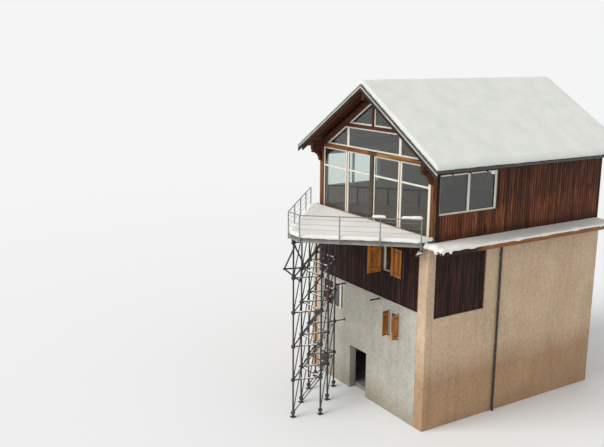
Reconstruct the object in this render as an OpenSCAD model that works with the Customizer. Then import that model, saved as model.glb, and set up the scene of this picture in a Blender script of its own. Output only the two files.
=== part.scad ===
// Alpine chalet on a slope: grey and cream masonry base, timber storey with a
// glazed gable, snow-laden roof and a prow-shaped terrace on a steel space frame.
// X runs along the glazed front, Y from the front to the back, Z up.

/* [Levels] */
// Thickness of the cellar floor slab
cellar_slab_t = 200; // [120:10:400]
// Height of the lower floor's top above the base
lower_floor_z = 2600; // [2450:10:2700]
// Height of the middle floor's top above the base
middle_floor_z = 5350; // [5250:10:5600]
// Height of the upper floor's top above the base
upper_floor_z = 8300; // [8200:10:8600]
// Thickness of the inner floors
inner_floor_t = 200; // [150:10:300]
// Thickness of the upper floor, which stands on the masonry
upper_floor_t = 300; // [200:10:350]
// Height at which the grey front wall ends and the boarded front begins
grey_wall_top = 5100; // [5000:10:5150]

/* [Walls] */
// Width of the timber storey over its outer faces
house_w = 8310; // [7900:10:8800]
// Length of the timber storey from the glazing to the back
house_l = 10200; // [9000:10:12000]
// Thickness of the timber walls
timber_t = 200; // [150:10:260]
// Thickness of the masonry walls
masonry_t = 350; // [300:10:450]
// How far the masonry stands out from the timber storey at each side
masonry_side_out = 150; // [100:10:200]
// How far the masonry stands forward of the glazing
masonry_front_out = 250; // [200:10:300]
// Width of the cream corner columns on the front
column_w = 550; // [350:10:650]
// Thickness of the timber wall between the columns
infill_t = 200; // [150:10:250]
// Depth of the dark boarding behind the column faces
cladding_set_back = 50; // [30:5:80]
// Thickness of the dark boarding
cladding_t = 30; // [20:1:40]
// Start of the side boarding behind the glazing
side_panel_y = 160; // [100:10:400]
// Length of the side boarding
side_panel_l = 2840; // [2000:10:3200]
// Height of the side boarding's lower edge
side_panel_z = 4950; // [4700:10:5200]

/* [Lower openings] */
// Cellar doorway, left jamb
cellar_door_x = -1000; // [-1400:10:-600]
// Cellar doorway, clear width
cellar_door_w = 1300; // [900:10:1500]
// Cellar doorway, height of its head above the base
cellar_door_head = 2150; // [1900:10:2250]
// Cellar hatch, distance of its left jamb from the left column
hatch_in = 255; // [100:5:400]
// Cellar hatch, clear width
hatch_w = 570; // [400:10:700]
// Cellar hatch, clear height
hatch_h = 900; // [600:10:1200]
// Lower windows, height of the sill above the base
low_sill_z = 3620; // [3400:10:3800]
// Right lower window, height of the opening
low_window_h = 1080; // [900:10:1200]
// Left lower window, height of the opening
low_left_h = 1300; // [1000:10:1350]
// Left lower window, distance of its left jamb from the left column
low_left_in = 365; // [200:5:500]
// Left lower window, width of the opening
low_left_w = 1700; // [1400:10:1800]
// Right lower window, distance of its right jamb from the right column
low_right_in = 1205; // [300:5:1400]
// Right lower window, width of the opening
low_right_w = 650; // [550:10:1400]

/* [Middle window and shutters] */
// Middle window, distance of its right jamb from the right column
mid_window_in = 1155; // [900:5:1400]
// Middle window, width of the opening
mid_window_w = 1440; // [1200:10:1500]
// Middle window, height of the sill above the base
mid_sill_z = 6330; // [6200:10:6500]
// Middle window, height of the opening
mid_window_h = 1200; // [1100:10:1400]
// Extra set-back of the middle window's frame behind the boarding
mid_frame_in = 90; // [0:10:90]
// Thickness of a shutter leaf
shutter_t = 40; // [30:1:50]
// How far a leaf covers the wall above and below the opening
shutter_lap = 25; // [10:1:40]
// Gap between a closed leaf and the wall
shutter_gap = 10; // [6:1:20]
// Gap between two closed leaves
leaf_gap = 14; // [10:1:20]
// Radius of the hinge pintles
pintle_r = 14; // [10:1:18]
// Height of a hinge pintle
pintle_h = 40; // [30:1:60]

/* [Front and side fittings] */
// Left steel bar on the front, place of its middle
outrigger_left_x = -1460; // [-1600:10:-1000]
// Right steel bar on the front, place of its middle
outrigger_right_x = 1210; // [900:10:1500]
// Reach of the steel bars in front of the masonry
outrigger_l = 540; // [400:10:540]
// Width and height of the steel bars
outrigger_w = 55; // [40:5:110]
// Place of the downpipe behind the glazing
pipe_y = 3800; // [3300:10:4500]
// Radius of the downpipe
pipe_r = 50; // [35:1:60]
// Gap between the downpipe and the wall
pipe_gap = 25; // [15:1:40]
// Height of the lowest pipe bracket
pipe_bracket_z = 600; // [300:10:900]
// Spacing of the pipe brackets
pipe_bracket_pitch = 2200; // [1500:10:2400]

/* [Windows] */
// Face width of a window frame
frame_w = 70; // [50:1:90]
// Depth of a window frame
frame_d = 80; // [60:1:90]
// Set-back of a window frame in its reveal
frame_back = 60; // [40:1:70]
// Thickness of the glazing
glass_t = 24; // [18:1:30]
// Side window, start behind the glazing
side_window_y = 350; // [300:10:500]
// Side window, width of the opening
side_window_w = 3210; // [2800:10:3400]
// Side window, height of its sill over the upper floor
side_sill_h = 950; // [900:10:1000]
// Side window, height of the opening
side_window_h = 1680; // [1500:10:1750]
// Back window, width of the opening
back_window_w = 1600; // [1200:10:1800]
// Back window, distance of its middle from the centre line
back_window_x = 2000; // [1800:10:2400]
// Back door, width of the opening
back_door_w = 1000; // [900:10:1200]
// Back door, height of the opening
back_door_h = 2100; // [2000:10:2200]

/* [Glazed front] */
// Width of the corner posts
corner_post_w = 260; // [200:10:300]
// Width of the centre post
centre_post_w = 240; // [200:10:280]
// Depth of the front timbers
front_timber_d = 200; // [160:10:240]
// Height of the window-head rail over the upper floor
transom_h = 2050; // [1900:10:2150]
// Face height of the window-head rail
transom_w = 80; // [60:1:100]
// Distance of the main mullions from the centre line
mullion_x = 1940; // [1800:10:2050]
// Width of a main mullion
mullion_w = 240; // [180:10:280]
// Height of the lower beam's underside over the upper floor
lower_beam_h = 2980; // [2800:10:3000]
// Depth of the lower beam
lower_beam_d = 170; // [140:10:280]
// Height of the collar beam's underside over the upper floor
collar_h = 4100; // [4000:10:4200]
// Depth of the collar beam
collar_d = 140; // [120:10:200]
// Width of the king post
king_post_w = 120; // [100:10:220]

/* [Roof] */
// Pitch of the roof in degrees
roof_pitch = 31.5; // [29:0.5:33]
// Height of the side walls over the upper floor, up to the eave purlins
side_wall_h = 2845; // [2800:5:3000]
// Overhang of the eaves beyond the timber wall
eave_out = 945; // [700:5:1100]
// Overhang of the roof in front of the glazing
front_out = 660; // [500:10:900]
// Overhang of the roof behind the back wall
back_out = 600; // [400:10:900]
// Thickness of the boarded roof skin
skin_t = 165; // [120:5:200]
// Thickness of the roof skin at the eaves, measured upright
eave_edge_t = 70; // [50:5:120]
// Depth of a rafter
rafter_d = 160; // [120:5:180]
// Width of a rafter
rafter_w = 80; // [60:5:120]
// Number of rafters on each side
rafter_count = 13; // [9:1:16]
// How far the rafter tails stay back from the eave
rafter_set_back = 250; // [150:10:400]
// Width of the purlins
purlin_w = 180; // [140:10:200]
// Depth of the purlins under the rafters
purlin_d = 300; // [240:10:340]
// Distance of the middle purlins from the centre line
mid_purlin_x = 2050; // [1800:10:2300]
// How far the purlins stay back from the barge boards
purlin_set_back = 60; // [40:10:200]
// Reach of the corbels in front of the gable
corbel_reach = 520; // [400:10:550]
// Height of the corbels
corbel_h = 560; // [400:10:700]
// Width of a corbel's foot on the gable
corbel_nose = 110; // [80:10:160]
// Depth of the barge boards, measured upright
barge_d = 300; // [260:10:340]
// Thickness of the barge boards
barge_t = 45; // [30:1:60]

/* [Side ledges] */
// Reach of a side ledge beyond the masonry
ledge_out = 700; // [350:10:730]
// Fall of a side ledge in degrees
ledge_fall = 6; // [2:1:15]
// Thickness of a side ledge, measured upright
ledge_t = 80; // [60:1:120]
// Height of the ledge's edge beam
ledge_beam_h = 180; // [120:1:200]
// Thickness of the ledge's edge beam
ledge_beam_t = 60; // [40:1:80]

/* [Terrace] */
// Distance of the terrace's right corner in front of the glazing
deck_right_y = 660; // [500:10:800]
// Distance of the terrace's left corner in front of the glazing
deck_left_y = 400; // [350:10:600]
// How far the terrace's sides stay inside the masonry's corners
deck_side_in = 15; // [0:5:100]
// Distance of the prow in front of the glazing
prow_y = 4370; // [3800:10:4800]
// Right end of the prow
prow_right_x = 1110; // [900:10:1300]
// Left end of the prow
prow_left_x = 240; // [0:10:400]
// Thickness of the terrace boards
deck_board_t = 50; // [40:1:60]
// Height of the steel edge channel
edge_h = 190; // [160:10:300]
// Thickness of the steel edge channel
edge_t = 60; // [40:1:80]
// Width of a terrace joist
joist_w = 80; // [60:1:100]
// Spacing of the terrace joists
joist_pitch = 900; // [700:10:1200]

/* [Railing] */
// Height of the handrail's middle over the terrace
rail_h = 950; // [900:10:1100]
// Radius of the handrail
rail_r = 22; // [18:1:28]
// Diameter of a railing post
rail_post_d = 50; // [40:1:60]
// Number of bays of the railing on the left
left_bays = 4; // [3:1:6]
// Number of bays of the railing on the right
right_bays = 3; // [2:1:5]
// Radius of a railing cable
cable_r = 5; // [4:1:8]
// Height of the lowest cable
cable_z = 360; // [200:10:380]
// Spacing of the cables
cable_pitch = 215; // [180:5:240]
// Number of cables
cable_count = 3; // [2:1:4]

/* [Space frame] */
// Number of storeys of the space frame
frame_storeys = 5; // [4:1:5]
// Number of columns in the outer row
outer_count = 4; // [3:1:4]
// First column of the outer row, place across the front
outer_x = 300; // [250:10:400]
// First column of the outer row, distance in front of the glazing
outer_y = 4180; // [4000:10:4200]
// First column of the inner row, place across the front
inner_x = 680; // [600:10:750]
// First column of the inner row, distance in front of the glazing
inner_y = 3000; // [2900:10:3100]
// Step from column to column along both axes
frame_step = 1080; // [1040:10:1090]
// Radius of the column tubes
chord_r = 38; // [30:1:40]
// Radius of the bracing tubes
brace_r = 25; // [18:1:26]
// Radius of the ball joints
ball_r = 100; // [98:1:115]
// Height of the lowest ball joints over the ground
base_ball_z = 200; // [150:5:300]
// Width of a foot plate
foot_w = 220; // [160:10:260]
// Thickness of a foot plate
foot_t = 20; // [12:1:30]
// Width of a wall plate
tie_plate_w = 120; // [80:10:160]
// Thickness of a wall plate
tie_plate_t = 12; // [8:1:20]
// Height of the steel bearers under the terrace joists
bearer_h = 100; // [80:5:140]
// Width of the bearers
bearer_w = 100; // [80:5:140]
// Reach of a bearer beyond its end columns
bearer_end = 150; // [100:10:180]

/* [Snow] */
// Depth of the snow on the roof, measured upright
roof_snow_d = 240; // [100:10:400]
// Depth of the snow at the eaves, measured upright
eave_snow_d = 145; // [60:5:240]
// Width of the rounded edge of the snow at the eaves
snow_edge_w = 120; // [60:10:300]
// How far the roof snow stays back from the barge boards' outer faces
snow_set_back = 12; // [5:1:60]
// Depth of the snow on the terrace
low_snow_d = 170; // [80:10:260]
// How far the terrace snow stays back from the edge
deck_snow_in = 15; // [5:5:60]
// Depth of the snow on a ledge at the wall
ledge_snow_d = 95; // [40:5:160]
// Depth of the snow at a ledge's outer edge
rim_snow_d = 105; // [40:5:160]

/* [Hidden] */

// Reach of a cut past the surface that it opens
eps = 1;
// Clearance at which a piece is seated on the next one
seat = 0.3;

masonry_top = upper_floor_z - upper_floor_t;
half_w = house_w / 2;
half_m = half_w + masonry_side_out;
inner_half = half_m - masonry_t;
glaze_y = (masonry_front_out - house_l) / 2;
front_y = glaze_y - masonry_front_out;
back_y = glaze_y + house_l;
inner_front_y = front_y + masonry_t;
inner_back_y = back_y - masonry_t;
clad_y = front_y + cladding_set_back;
infill_y = clad_y + cladding_t;
infill_half = half_m - column_w;
hatch_x = -infill_half + hatch_in;
low_left_x = -infill_half + low_left_in;
low_right_x = infill_half - low_right_in - low_right_w;
mid_window_x = infill_half - mid_window_in - mid_window_w;

slope = tan(roof_pitch);
ledge_slope = tan(ledge_fall);
skin_v = skin_t / cos(roof_pitch);
rafter_v = rafter_d / cos(roof_pitch);
side_top = upper_floor_z + side_wall_h;
ridge_z = side_top + purlin_d + rafter_v + skin_v + half_w * slope;
roof_half = half_w + eave_out;
roof_y0 = glaze_y - front_out;
roof_y1 = back_y + back_out;
wall_top = side_top - seat;

lower_beam_z = upper_floor_z + lower_beam_h;
band_z = lower_beam_z + lower_beam_d;
collar_z = upper_floor_z + collar_h;
crown_z = collar_z + collar_d;
rake_drop = frame_w / cos(roof_pitch);
glazing_y = glaze_y + (front_timber_d - frame_d) / 2;

mid_leaf = (mid_window_w - leaf_gap) / 2;
low_leaf = (low_right_w - leaf_gap) / 2;

deck_z = upper_floor_z;
deck_side_x = half_m - deck_side_in;
deck_under = deck_z - deck_board_t;
deck_low = deck_z - edge_h;
deck_pts = [
    [deck_side_x, glaze_y],
    [-deck_side_x, glaze_y],
    [-deck_side_x, glaze_y - deck_left_y],
    [prow_left_x, glaze_y - prow_y],
    [prow_right_x, glaze_y - prow_y],
    [deck_side_x, glaze_y - deck_right_y]
];

// Height of the roof's outer surface at a distance from the centre line
function roof_z(x) = ridge_z - abs(x) * slope;
// Underside of the roof skin, and underside of the rafters
function skin_z(x) = roof_z(x) - skin_v;
function under_z(x) = skin_z(x) - rafter_v;
// Underside of the sloping gable timbers
function gable_z(x) = under_z(x) - purlin_d;
// Distance from the centre line at which the gable timbers, lowered by d, meet height z
function gable_x(z, d) = (gable_z(0) - d - z) / slope;

// Corner of an outline moved inwards by d, keeping its edges parallel
function unit(v) = v / norm(v);
function left_of(v) = [-v[1], v[0]];
function inset_corner(a, b, c, d) =
    let (n1 = left_of(unit(b - a)), n2 = left_of(unit(c - b)))
    b + d * (n1 + n2) / (1 + n1 * n2);
function inset(pts, d) =
    let (n = len(pts))
    [for (i = [0 : n - 1]) inset_corner(pts[(i + n - 1) % n], pts[i], pts[(i + 1) % n], d)];

// Upright profile in X and Z, given thickness t from y0 backwards
module profile(y0, t) {
    translate([0, y0 + t, 0])
        rotate([90, 0, 0])
            linear_extrude(t)
                children();
}

// Box between two corners
module block(a, b) {
    translate(a)
        cube(b - a);
}

// Straight bar of radius r between two points
module bar(a, b, r, sides) {
    d = b - a;
    h = norm(d);
    turn = atan2(d[1], d[0]);
    tilt = acos(d[2] / h);
    translate(a)
        rotate([0, tilt, turn])
            cylinder(h = h, r = r, $fn = sides);
}

module both_sides() {
    children();
    mirror([1, 0, 0])
        children();
}

module cellar_floor() {
    color("gray")
        block([-inner_half, inner_front_y, 0], [inner_half, inner_back_y, cellar_slab_t]);
}

module inner_floors() {
    color("gray")
        for (top = [lower_floor_z, middle_floor_z])
            block([-inner_half, inner_front_y, top - inner_floor_t], [inner_half, inner_back_y, top]);
}

module upper_floor() {
    color("tan")
        block([-half_w, glaze_y, masonry_top], [half_w, back_y, upper_floor_z]);
}

module cellar_front_left() {
    color("silver")
        difference() {
            block([-infill_half, front_y, 0], [cellar_door_x, inner_front_y, cellar_door_head]);
            block([hatch_x, front_y - eps, cellar_slab_t],
                [hatch_x + hatch_w, inner_front_y + eps, cellar_slab_t + hatch_h]);
        }
}

module cellar_front_right() {
    color("silver")
        block([cellar_door_x + cellar_door_w, front_y, 0], [infill_half, inner_front_y, cellar_door_head]);
}

module front_wall_low() {
    color("silver")
        difference() {
            block([-infill_half, front_y, cellar_door_head], [infill_half, inner_front_y, grey_wall_top]);
            low_opening(low_left_x, low_left_w, low_left_h);
            low_opening(low_right_x, low_right_w, low_window_h);
        }
}

module low_opening(x, w, h) {
    block([x, front_y - eps, low_sill_z], [x + w, inner_front_y + eps, low_sill_z + h]);
}

// Cream side wall with a shallow recess for the dark boarding
module side_wall() {
    difference() {
        block([inner_half, inner_front_y, 0], [half_m, inner_back_y, masonry_top]);
        block([half_m - cladding_set_back - cladding_t, glaze_y + side_panel_y, side_panel_z],
            [half_m + eps, glaze_y + side_panel_y + side_panel_l, masonry_top + eps]);
    }
}

module right_wall() {
    color("wheat")
        side_wall();
}

module left_wall() {
    color("wheat")
        mirror([1, 0, 0])
            side_wall();
}

module back_wall() {
    color("wheat")
        difference() {
            block([-half_m, inner_back_y, 0], [half_m, back_y, masonry_top]);
            block([-back_door_w / 2, inner_back_y - eps, middle_floor_z],
                [back_door_w / 2, back_y + eps, middle_floor_z + back_door_h]);
        }
}

module front_columns() {
    color("wheat")
        both_sides()
            block([infill_half, front_y, 0], [half_m, inner_front_y, masonry_top]);
}

module mid_opening() {
    block([mid_window_x, front_y - eps, mid_sill_z],
        [mid_window_x + mid_window_w, inner_front_y + eps, mid_sill_z + mid_window_h]);
}

module front_wall_mid() {
    color("saddlebrown")
        difference() {
            block([-infill_half, infill_y, grey_wall_top], [infill_half, infill_y + infill_t, masonry_top]);
            mid_opening();
        }
}

module cladding_panels() {
    color([0.22, 0.13, 0.13]) {
        difference() {
            block([-infill_half, clad_y, grey_wall_top], [infill_half, infill_y, masonry_top]);
            mid_opening();
        }
        both_sides()
            block([half_m - cladding_set_back - cladding_t, glaze_y + side_panel_y, side_panel_z],
                [half_m - cladding_set_back, glaze_y + side_panel_y + side_panel_l, masonry_top]);
    }
}

// Window frame with upright bars, and its panes; local Y points into the wall
module casement(w, h, lights) {
    pane = (w - frame_w * (lights + 1)) / lights;
    translate([0, frame_back, 0])
        difference() {
            cube([w, frame_d, h]);
            for (i = [0 : lights - 1])
                translate([frame_w + i * (pane + frame_w), -eps, frame_w])
                    cube([pane, frame_d + 2 * eps, h - 2 * frame_w]);
        }
}

module panes(w, h, lights) {
    pane = (w - frame_w * (lights + 1)) / lights;
    for (i = [0 : lights - 1])
        translate([frame_w + i * (pane + frame_w), frame_back + (frame_d - glass_t) / 2, frame_w])
            cube([pane, glass_t, h - 2 * frame_w]);
}

module on_front(x, y, z) {
    translate([x, y, z])
        children();
}

module on_side(y, z) {
    both_sides()
        translate([half_w, y, z])
            rotate([0, 0, 90])
                children();
}

module on_back(x, z) {
    translate([x, back_y, z])
        rotate([0, 0, 180])
            children();
}

module window_frames() {
    color("ivory") {
        on_front(low_left_x, front_y, low_sill_z)
            casement(low_left_w, low_left_h, 2);
        on_front(low_right_x, front_y, low_sill_z)
            casement(low_right_w, low_window_h, 1);
        on_front(mid_window_x, clad_y + mid_frame_in, mid_sill_z)
            casement(mid_window_w, mid_window_h, 2);
        on_side(glaze_y + side_window_y, upper_floor_z + side_sill_h)
            casement(side_window_w, side_window_h, 2);
        for (x = [-back_window_x, back_window_x])
            on_back(x + back_window_w / 2, upper_floor_z + side_sill_h)
                casement(back_window_w, side_window_h, 2);
    }
}

module window_glass() {
    color([0.35, 0.42, 0.4, 0.5]) {
        on_front(low_left_x, front_y, low_sill_z)
            panes(low_left_w, low_left_h, 2);
        on_front(low_right_x, front_y, low_sill_z)
            panes(low_right_w, low_window_h, 1);
        on_front(mid_window_x, clad_y + mid_frame_in, mid_sill_z)
            panes(mid_window_w, mid_window_h, 2);
        on_side(glaze_y + side_window_y, upper_floor_z + side_sill_h)
            panes(side_window_w, side_window_h, 2);
        for (x = [-back_window_x, back_window_x])
            on_back(x + back_window_w / 2, upper_floor_z + side_sill_h)
                panes(back_window_w, side_window_h, 2);
    }
}

module back_door() {
    color("saddlebrown")
        block([-back_door_w / 2, back_y - frame_back - frame_d, middle_floor_z],
            [back_door_w / 2, back_y - frame_back, middle_floor_z + back_door_h]);
}

// Shutter leaf standing square to the wall, hung on the line x, wall_y
module leaf(x, wall_y, z, l, h) {
    hinge_y = wall_y - shutter_gap - shutter_t / 2;
    block([x - shutter_t / 2, hinge_y - l, z - shutter_lap],
        [x + shutter_t / 2, hinge_y, z + h + shutter_lap]);
}

// Leaf closed over the opening to the left of its hinge line
module closed_leaf(x, wall_y, z, l, h) {
    outer_y = wall_y - shutter_gap - shutter_t;
    block([x - l, outer_y, z - shutter_lap], [x, outer_y + shutter_t, z + h + shutter_lap]);
}

module shutter_mid_left() {
    color([0.75, 0.43, 0.14])
        leaf(mid_window_x, clad_y, mid_sill_z, mid_leaf, mid_window_h);
}

module shutter_mid_right() {
    color([0.75, 0.43, 0.14])
        closed_leaf(mid_window_x + mid_window_w, clad_y, mid_sill_z, mid_leaf, mid_window_h);
}

module shutter_low_left() {
    color([0.75, 0.43, 0.14])
        leaf(low_right_x, front_y, low_sill_z, low_leaf, low_window_h);
}

module shutter_low_right() {
    color([0.75, 0.43, 0.14])
        leaf(low_right_x + low_right_w, front_y, low_sill_z, low_leaf, low_window_h);
}

// Hinge pintles under and over a leaf, standing out from the wall
module pintle_pair(x, wall_y, z, h) {
    hinge_y = wall_y - shutter_gap - shutter_t / 2;
    for (low = [z - shutter_lap - seat - pintle_h, z + h + shutter_lap + seat])
        translate([x, 0, low])
            union() {
                translate([0, hinge_y, 0])
                    cylinder(h = pintle_h, r = pintle_r, $fn = 32);
                translate([-pintle_r, hinge_y, 0])
                    cube([2 * pintle_r, wall_y - hinge_y, pintle_h]);
            }
}

module shutter_pintles() {
    color("dimgray") {
        for (x = [mid_window_x, mid_window_x + mid_window_w])
            pintle_pair(x, clad_y, mid_sill_z, mid_window_h);
        for (x = [low_right_x, low_right_x + low_right_w])
            pintle_pair(x, front_y, low_sill_z, low_window_h);
    }
}

// Two short steel bars standing out of the front under the boarding
module wall_outriggers() {
    color("dimgray")
        for (x = [outrigger_left_x, outrigger_right_x])
            block([x - outrigger_w / 2, front_y - outrigger_l, grey_wall_top - outrigger_w],
                [x + outrigger_w / 2, front_y, grey_wall_top]);
}

// Rainwater pipe on the right wall, with its brackets
module downpipe() {
    y = glaze_y + pipe_y;
    pipe_top = ledge_under(half_m + pipe_gap + 2 * pipe_r) - seat;
    color("dimgray")
        union() {
            translate([half_m + pipe_gap + pipe_r, y, 0])
                cylinder(h = pipe_top, r = pipe_r, $fn = 32);
            for (z = [pipe_bracket_z : pipe_bracket_pitch : pipe_top - 2 * pipe_r])
                block([half_m, y - pipe_r / 2, z], [half_m + pipe_gap + pipe_r, y + pipe_r / 2, z + pipe_r]);
        }
}

// Underside of the side ledge beyond the masonry
function ledge_under(x) = masonry_top - (x - half_m) * ledge_slope;

function ledge_top(x) = ledge_under(x) + ledge_t;

module side_ledges() {
    outer = half_m + ledge_out;
    color("saddlebrown")
        both_sides()
            union() {
                profile(glaze_y, house_l)
                    polygon([
                        [half_w, masonry_top], [half_m, masonry_top], [outer, ledge_under(outer)],
                        [outer, ledge_top(outer)], [half_w, ledge_top(half_w)]
                    ]);
                profile(front_y, masonry_front_out + eps)
                    polygon([
                        [half_m, masonry_top], [outer, ledge_under(outer)],
                        [outer, ledge_top(outer)], [half_m, ledge_top(half_m)]
                    ]);
            }
}

module ledge_beams() {
    outer = half_m + ledge_out;
    top = ledge_top(outer);
    color("peru")
        both_sides()
            block([outer, front_y, top - ledge_beam_h], [outer + ledge_beam_t, back_y, top]);
}

// Everything under the sloping gable timbers, used to cut the front timbers to the rake
module under_rake() {
    low = upper_floor_z - eps;
    side = gable_z(half_w) - seat;
    profile(glaze_y - eps, front_timber_d + 2 * eps)
        polygon([[-half_w, low], [half_w, low], [half_w, side], [0, gable_z(0) - seat], [-half_w, side]]);
}

module front_posts() {
    color("sienna") {
        both_sides()
            difference() {
                intersection() {
                    block([half_w - corner_post_w, glaze_y, upper_floor_z],
                        [half_w, glaze_y + front_timber_d, ridge_z]);
                    under_rake();
                }
                purlin_set(seat);
            }
        block([-centre_post_w / 2, glaze_y, upper_floor_z],
            [centre_post_w / 2, glaze_y + front_timber_d, lower_beam_z]);
        block([-king_post_w / 2, glaze_y, crown_z],
            [king_post_w / 2, glaze_y + front_timber_d, gable_z(0) - seat]);
    }
}

module front_beams() {
    reach = half_w - corner_post_w;
    color("sienna")
        difference() {
            for (z = [[lower_beam_z, band_z], [collar_z, crown_z]])
                intersection() {
                    block([-reach, glaze_y, z[0]], [reach, glaze_y + front_timber_d, z[1]]);
                    under_rake();
                }
            purlin_set(seat);
        }
}

module gable_rafters() {
    color("sienna")
        difference() {
            both_sides()
                profile(glaze_y, front_timber_d)
                    polygon([
                        [purlin_w / 2, gable_z(purlin_w / 2)],
                        [half_w, gable_z(half_w)],
                        [half_w, under_z(half_w)],
                        [purlin_w / 2, under_z(purlin_w / 2)]
                    ]);
            purlin_set(seat);
        }
}

// Panes of the lower glazing, right half
module low_pane_shapes() {
    inner = centre_post_w / 2 + frame_w;
    outer = half_w - corner_post_w - frame_w;
    bays = [[inner, mullion_x - mullion_w / 2], [mullion_x + mullion_w / 2, outer]];
    heights = [
        [upper_floor_z + frame_w, upper_floor_z + transom_h],
        [upper_floor_z + transom_h + transom_w, lower_beam_z - frame_w]
    ];
    for (b = bays, z = heights)
        translate([b[0], z[0]])
            square([b[1] - b[0], z[1] - z[0]]);
}

module glazing_frame_low() {
    inner = centre_post_w / 2;
    outer = half_w - corner_post_w;
    color("ivory")
        intersection() {
            both_sides()
                profile(glazing_y, frame_d)
                    difference() {
                        translate([inner, upper_floor_z])
                            square([outer - inner, lower_beam_z - upper_floor_z]);
                        low_pane_shapes();
                    }
            under_rake();
        }
}

// Region between two heights under the rake, from x0 outwards, lowered by d
module rake_region(x0, z0, z1, d) {
    top = min(z1, gable_z(x0) - d);
    polygon([[x0, z0], [gable_x(z0, d), z0], [gable_x(top, d), top], [x0, top]]);
}

module band_pane_shapes() {
    low = band_z + frame_w;
    high = collar_z - frame_w;
    half = mullion_x - mullion_w / 2;
    translate([-half, low])
        square([2 * half, high - low]);
    for (s = [0, 1])
        mirror([s, 0])
            rake_region(mullion_x + frame_w / 2, low, high, rake_drop);
}

module crown_pane_shape() {
    x0 = king_post_w / 2 + frame_w;
    low = crown_z + frame_w;
    polygon([[x0, low], [gable_x(low, rake_drop), low], [x0, gable_z(x0) - rake_drop]]);
}

module glazing_frame_high() {
    crown_x = king_post_w / 2;
    low_half = gable_x(band_z, seat);
    high_half = gable_x(collar_z, seat);
    color("ivory")
        difference() {
            union() {
                profile(glazing_y, frame_d)
                    difference() {
                        polygon([
                            [-low_half, band_z], [low_half, band_z],
                            [high_half, collar_z], [-high_half, collar_z]
                        ]);
                        band_pane_shapes();
                    }
                both_sides()
                    profile(glazing_y, frame_d)
                        difference() {
                            polygon([
                                [crown_x, crown_z], [gable_x(crown_z, seat), crown_z],
                                [crown_x, gable_z(crown_x) - seat]
                            ]);
                            crown_pane_shape();
                        }
            }
            purlin_set(seat);
        }
}

module glazing_glass() {
    sheet_y = glazing_y + (frame_d - glass_t) / 2;
    color([0.35, 0.42, 0.4, 0.5]) {
        both_sides()
            profile(sheet_y, glass_t)
                low_pane_shapes();
        profile(sheet_y, glass_t)
            band_pane_shapes();
        both_sides()
            profile(sheet_y, glass_t)
                crown_pane_shape();
    }
}

module side_wall_up() {
    difference() {
        block([half_w - timber_t, glaze_y + front_timber_d, upper_floor_z],
            [half_w, back_y - timber_t, wall_top]);
        translate([half_w - timber_t - eps, glaze_y + side_window_y, upper_floor_z + side_sill_h])
            cube([timber_t + 2 * eps, side_window_w, side_window_h]);
    }
}

module right_wall_up() {
    color([0.42, 0.22, 0.15])
        side_wall_up();
}

module left_wall_up() {
    color([0.42, 0.22, 0.15])
        mirror([1, 0, 0])
            side_wall_up();
}

module back_wall_up() {
    sill = upper_floor_z + side_sill_h;
    color([0.42, 0.22, 0.15])
        difference() {
            profile(back_y - timber_t, timber_t)
                polygon([
                    [-half_w, upper_floor_z], [half_w, upper_floor_z],
                    [half_w, under_z(half_w)], [0, under_z(0)], [-half_w, under_z(half_w)]
                ]);
            purlin_set(seat);
            for (x = [-back_window_x, back_window_x])
                block([x - back_window_w / 2, back_y - timber_t - eps, sill],
                    [x + back_window_w / 2, back_y + eps, sill + side_window_h]);
        }
}

// Ridge, middle and eave purlins, their tops cut to the rafters; as a cutter they grow by c.
// The middle ones run from gable to gable, the others out under both overhangs.
module purlin_set(c) {
    y0 = roof_y0 + barge_t + purlin_set_back - c;
    y1 = roof_y1 - barge_t - purlin_set_back + c;
    in0 = glaze_y + front_timber_d + seat - c;
    in1 = back_y - timber_t - seat + c;
    half = purlin_w / 2 + c;
    profile(y0, y1 - y0)
        polygon([
            [-half, gable_z(0) - c], [half, gable_z(0) - c],
            [half, skin_z(half) - seat + c], [0, skin_z(0) - seat + c], [-half, skin_z(half) - seat + c]
        ]);
    both_sides() {
        profile(in0, in1 - in0)
            low_purlin(mid_purlin_x - purlin_w / 2, mid_purlin_x + purlin_w / 2, c);
        profile(y0, y1 - y0)
            low_purlin(half_w - timber_t, half_w, c);
    }
}

// Purlin between xa and xb, its top just clear of the rafters
module low_purlin(xa, xb, c) {
    a = xa - c;
    b = xb + c;
    low = gable_z(xb) - c;
    polygon([[a, low], [b, low], [b, under_z(b) - seat + c], [a, under_z(a) - seat + c]]);
}

module purlins() {
    color("saddlebrown")
        purlin_set(0);
}

// Curved brackets that carry the front ends of the eave purlins
module corbels() {
    color("saddlebrown")
        both_sides()
            translate([half_w - timber_t, glaze_y, wall_top - corbel_h])
                rotate([90, 0, 90])
                    linear_extrude(timber_t)
                        difference() {
                            translate([-corbel_reach, 0])
                                square([corbel_reach, corbel_h]);
                            translate([-corbel_reach, 0])
                                circle(r = corbel_reach - corbel_nose, $fn = 64);
                        }
}

module rafters() {
    span = roof_y1 - roof_y0 - 2 * barge_t - rafter_w;
    tail = roof_half - rafter_set_back;
    inner = purlin_w / 2 + seat;
    color("saddlebrown")
        both_sides()
            for (i = [0 : rafter_count - 1])
                profile(roof_y0 + barge_t + i * span / (rafter_count - 1), rafter_w)
                    polygon([
                        [inner, under_z(inner)], [tail, under_z(tail)],
                        [tail, skin_z(tail) - seat], [inner, skin_z(inner) - seat]
                    ]);
}

// Roof skin of one side, tapered beyond the rafter tails
module roof_side() {
    tail = roof_half - rafter_set_back;
    profile(roof_y0, roof_y1 - roof_y0)
        polygon([
            [0, skin_z(0)], [tail, skin_z(tail)], [roof_half, roof_z(roof_half) - eave_edge_t],
            [roof_half, roof_z(roof_half)], [0, roof_z(0)]
        ]);
}

module roof_left() {
    color("dimgray")
        mirror([1, 0, 0])
            roof_side();
}

module roof_right() {
    color("dimgray")
        roof_side();
}

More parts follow.
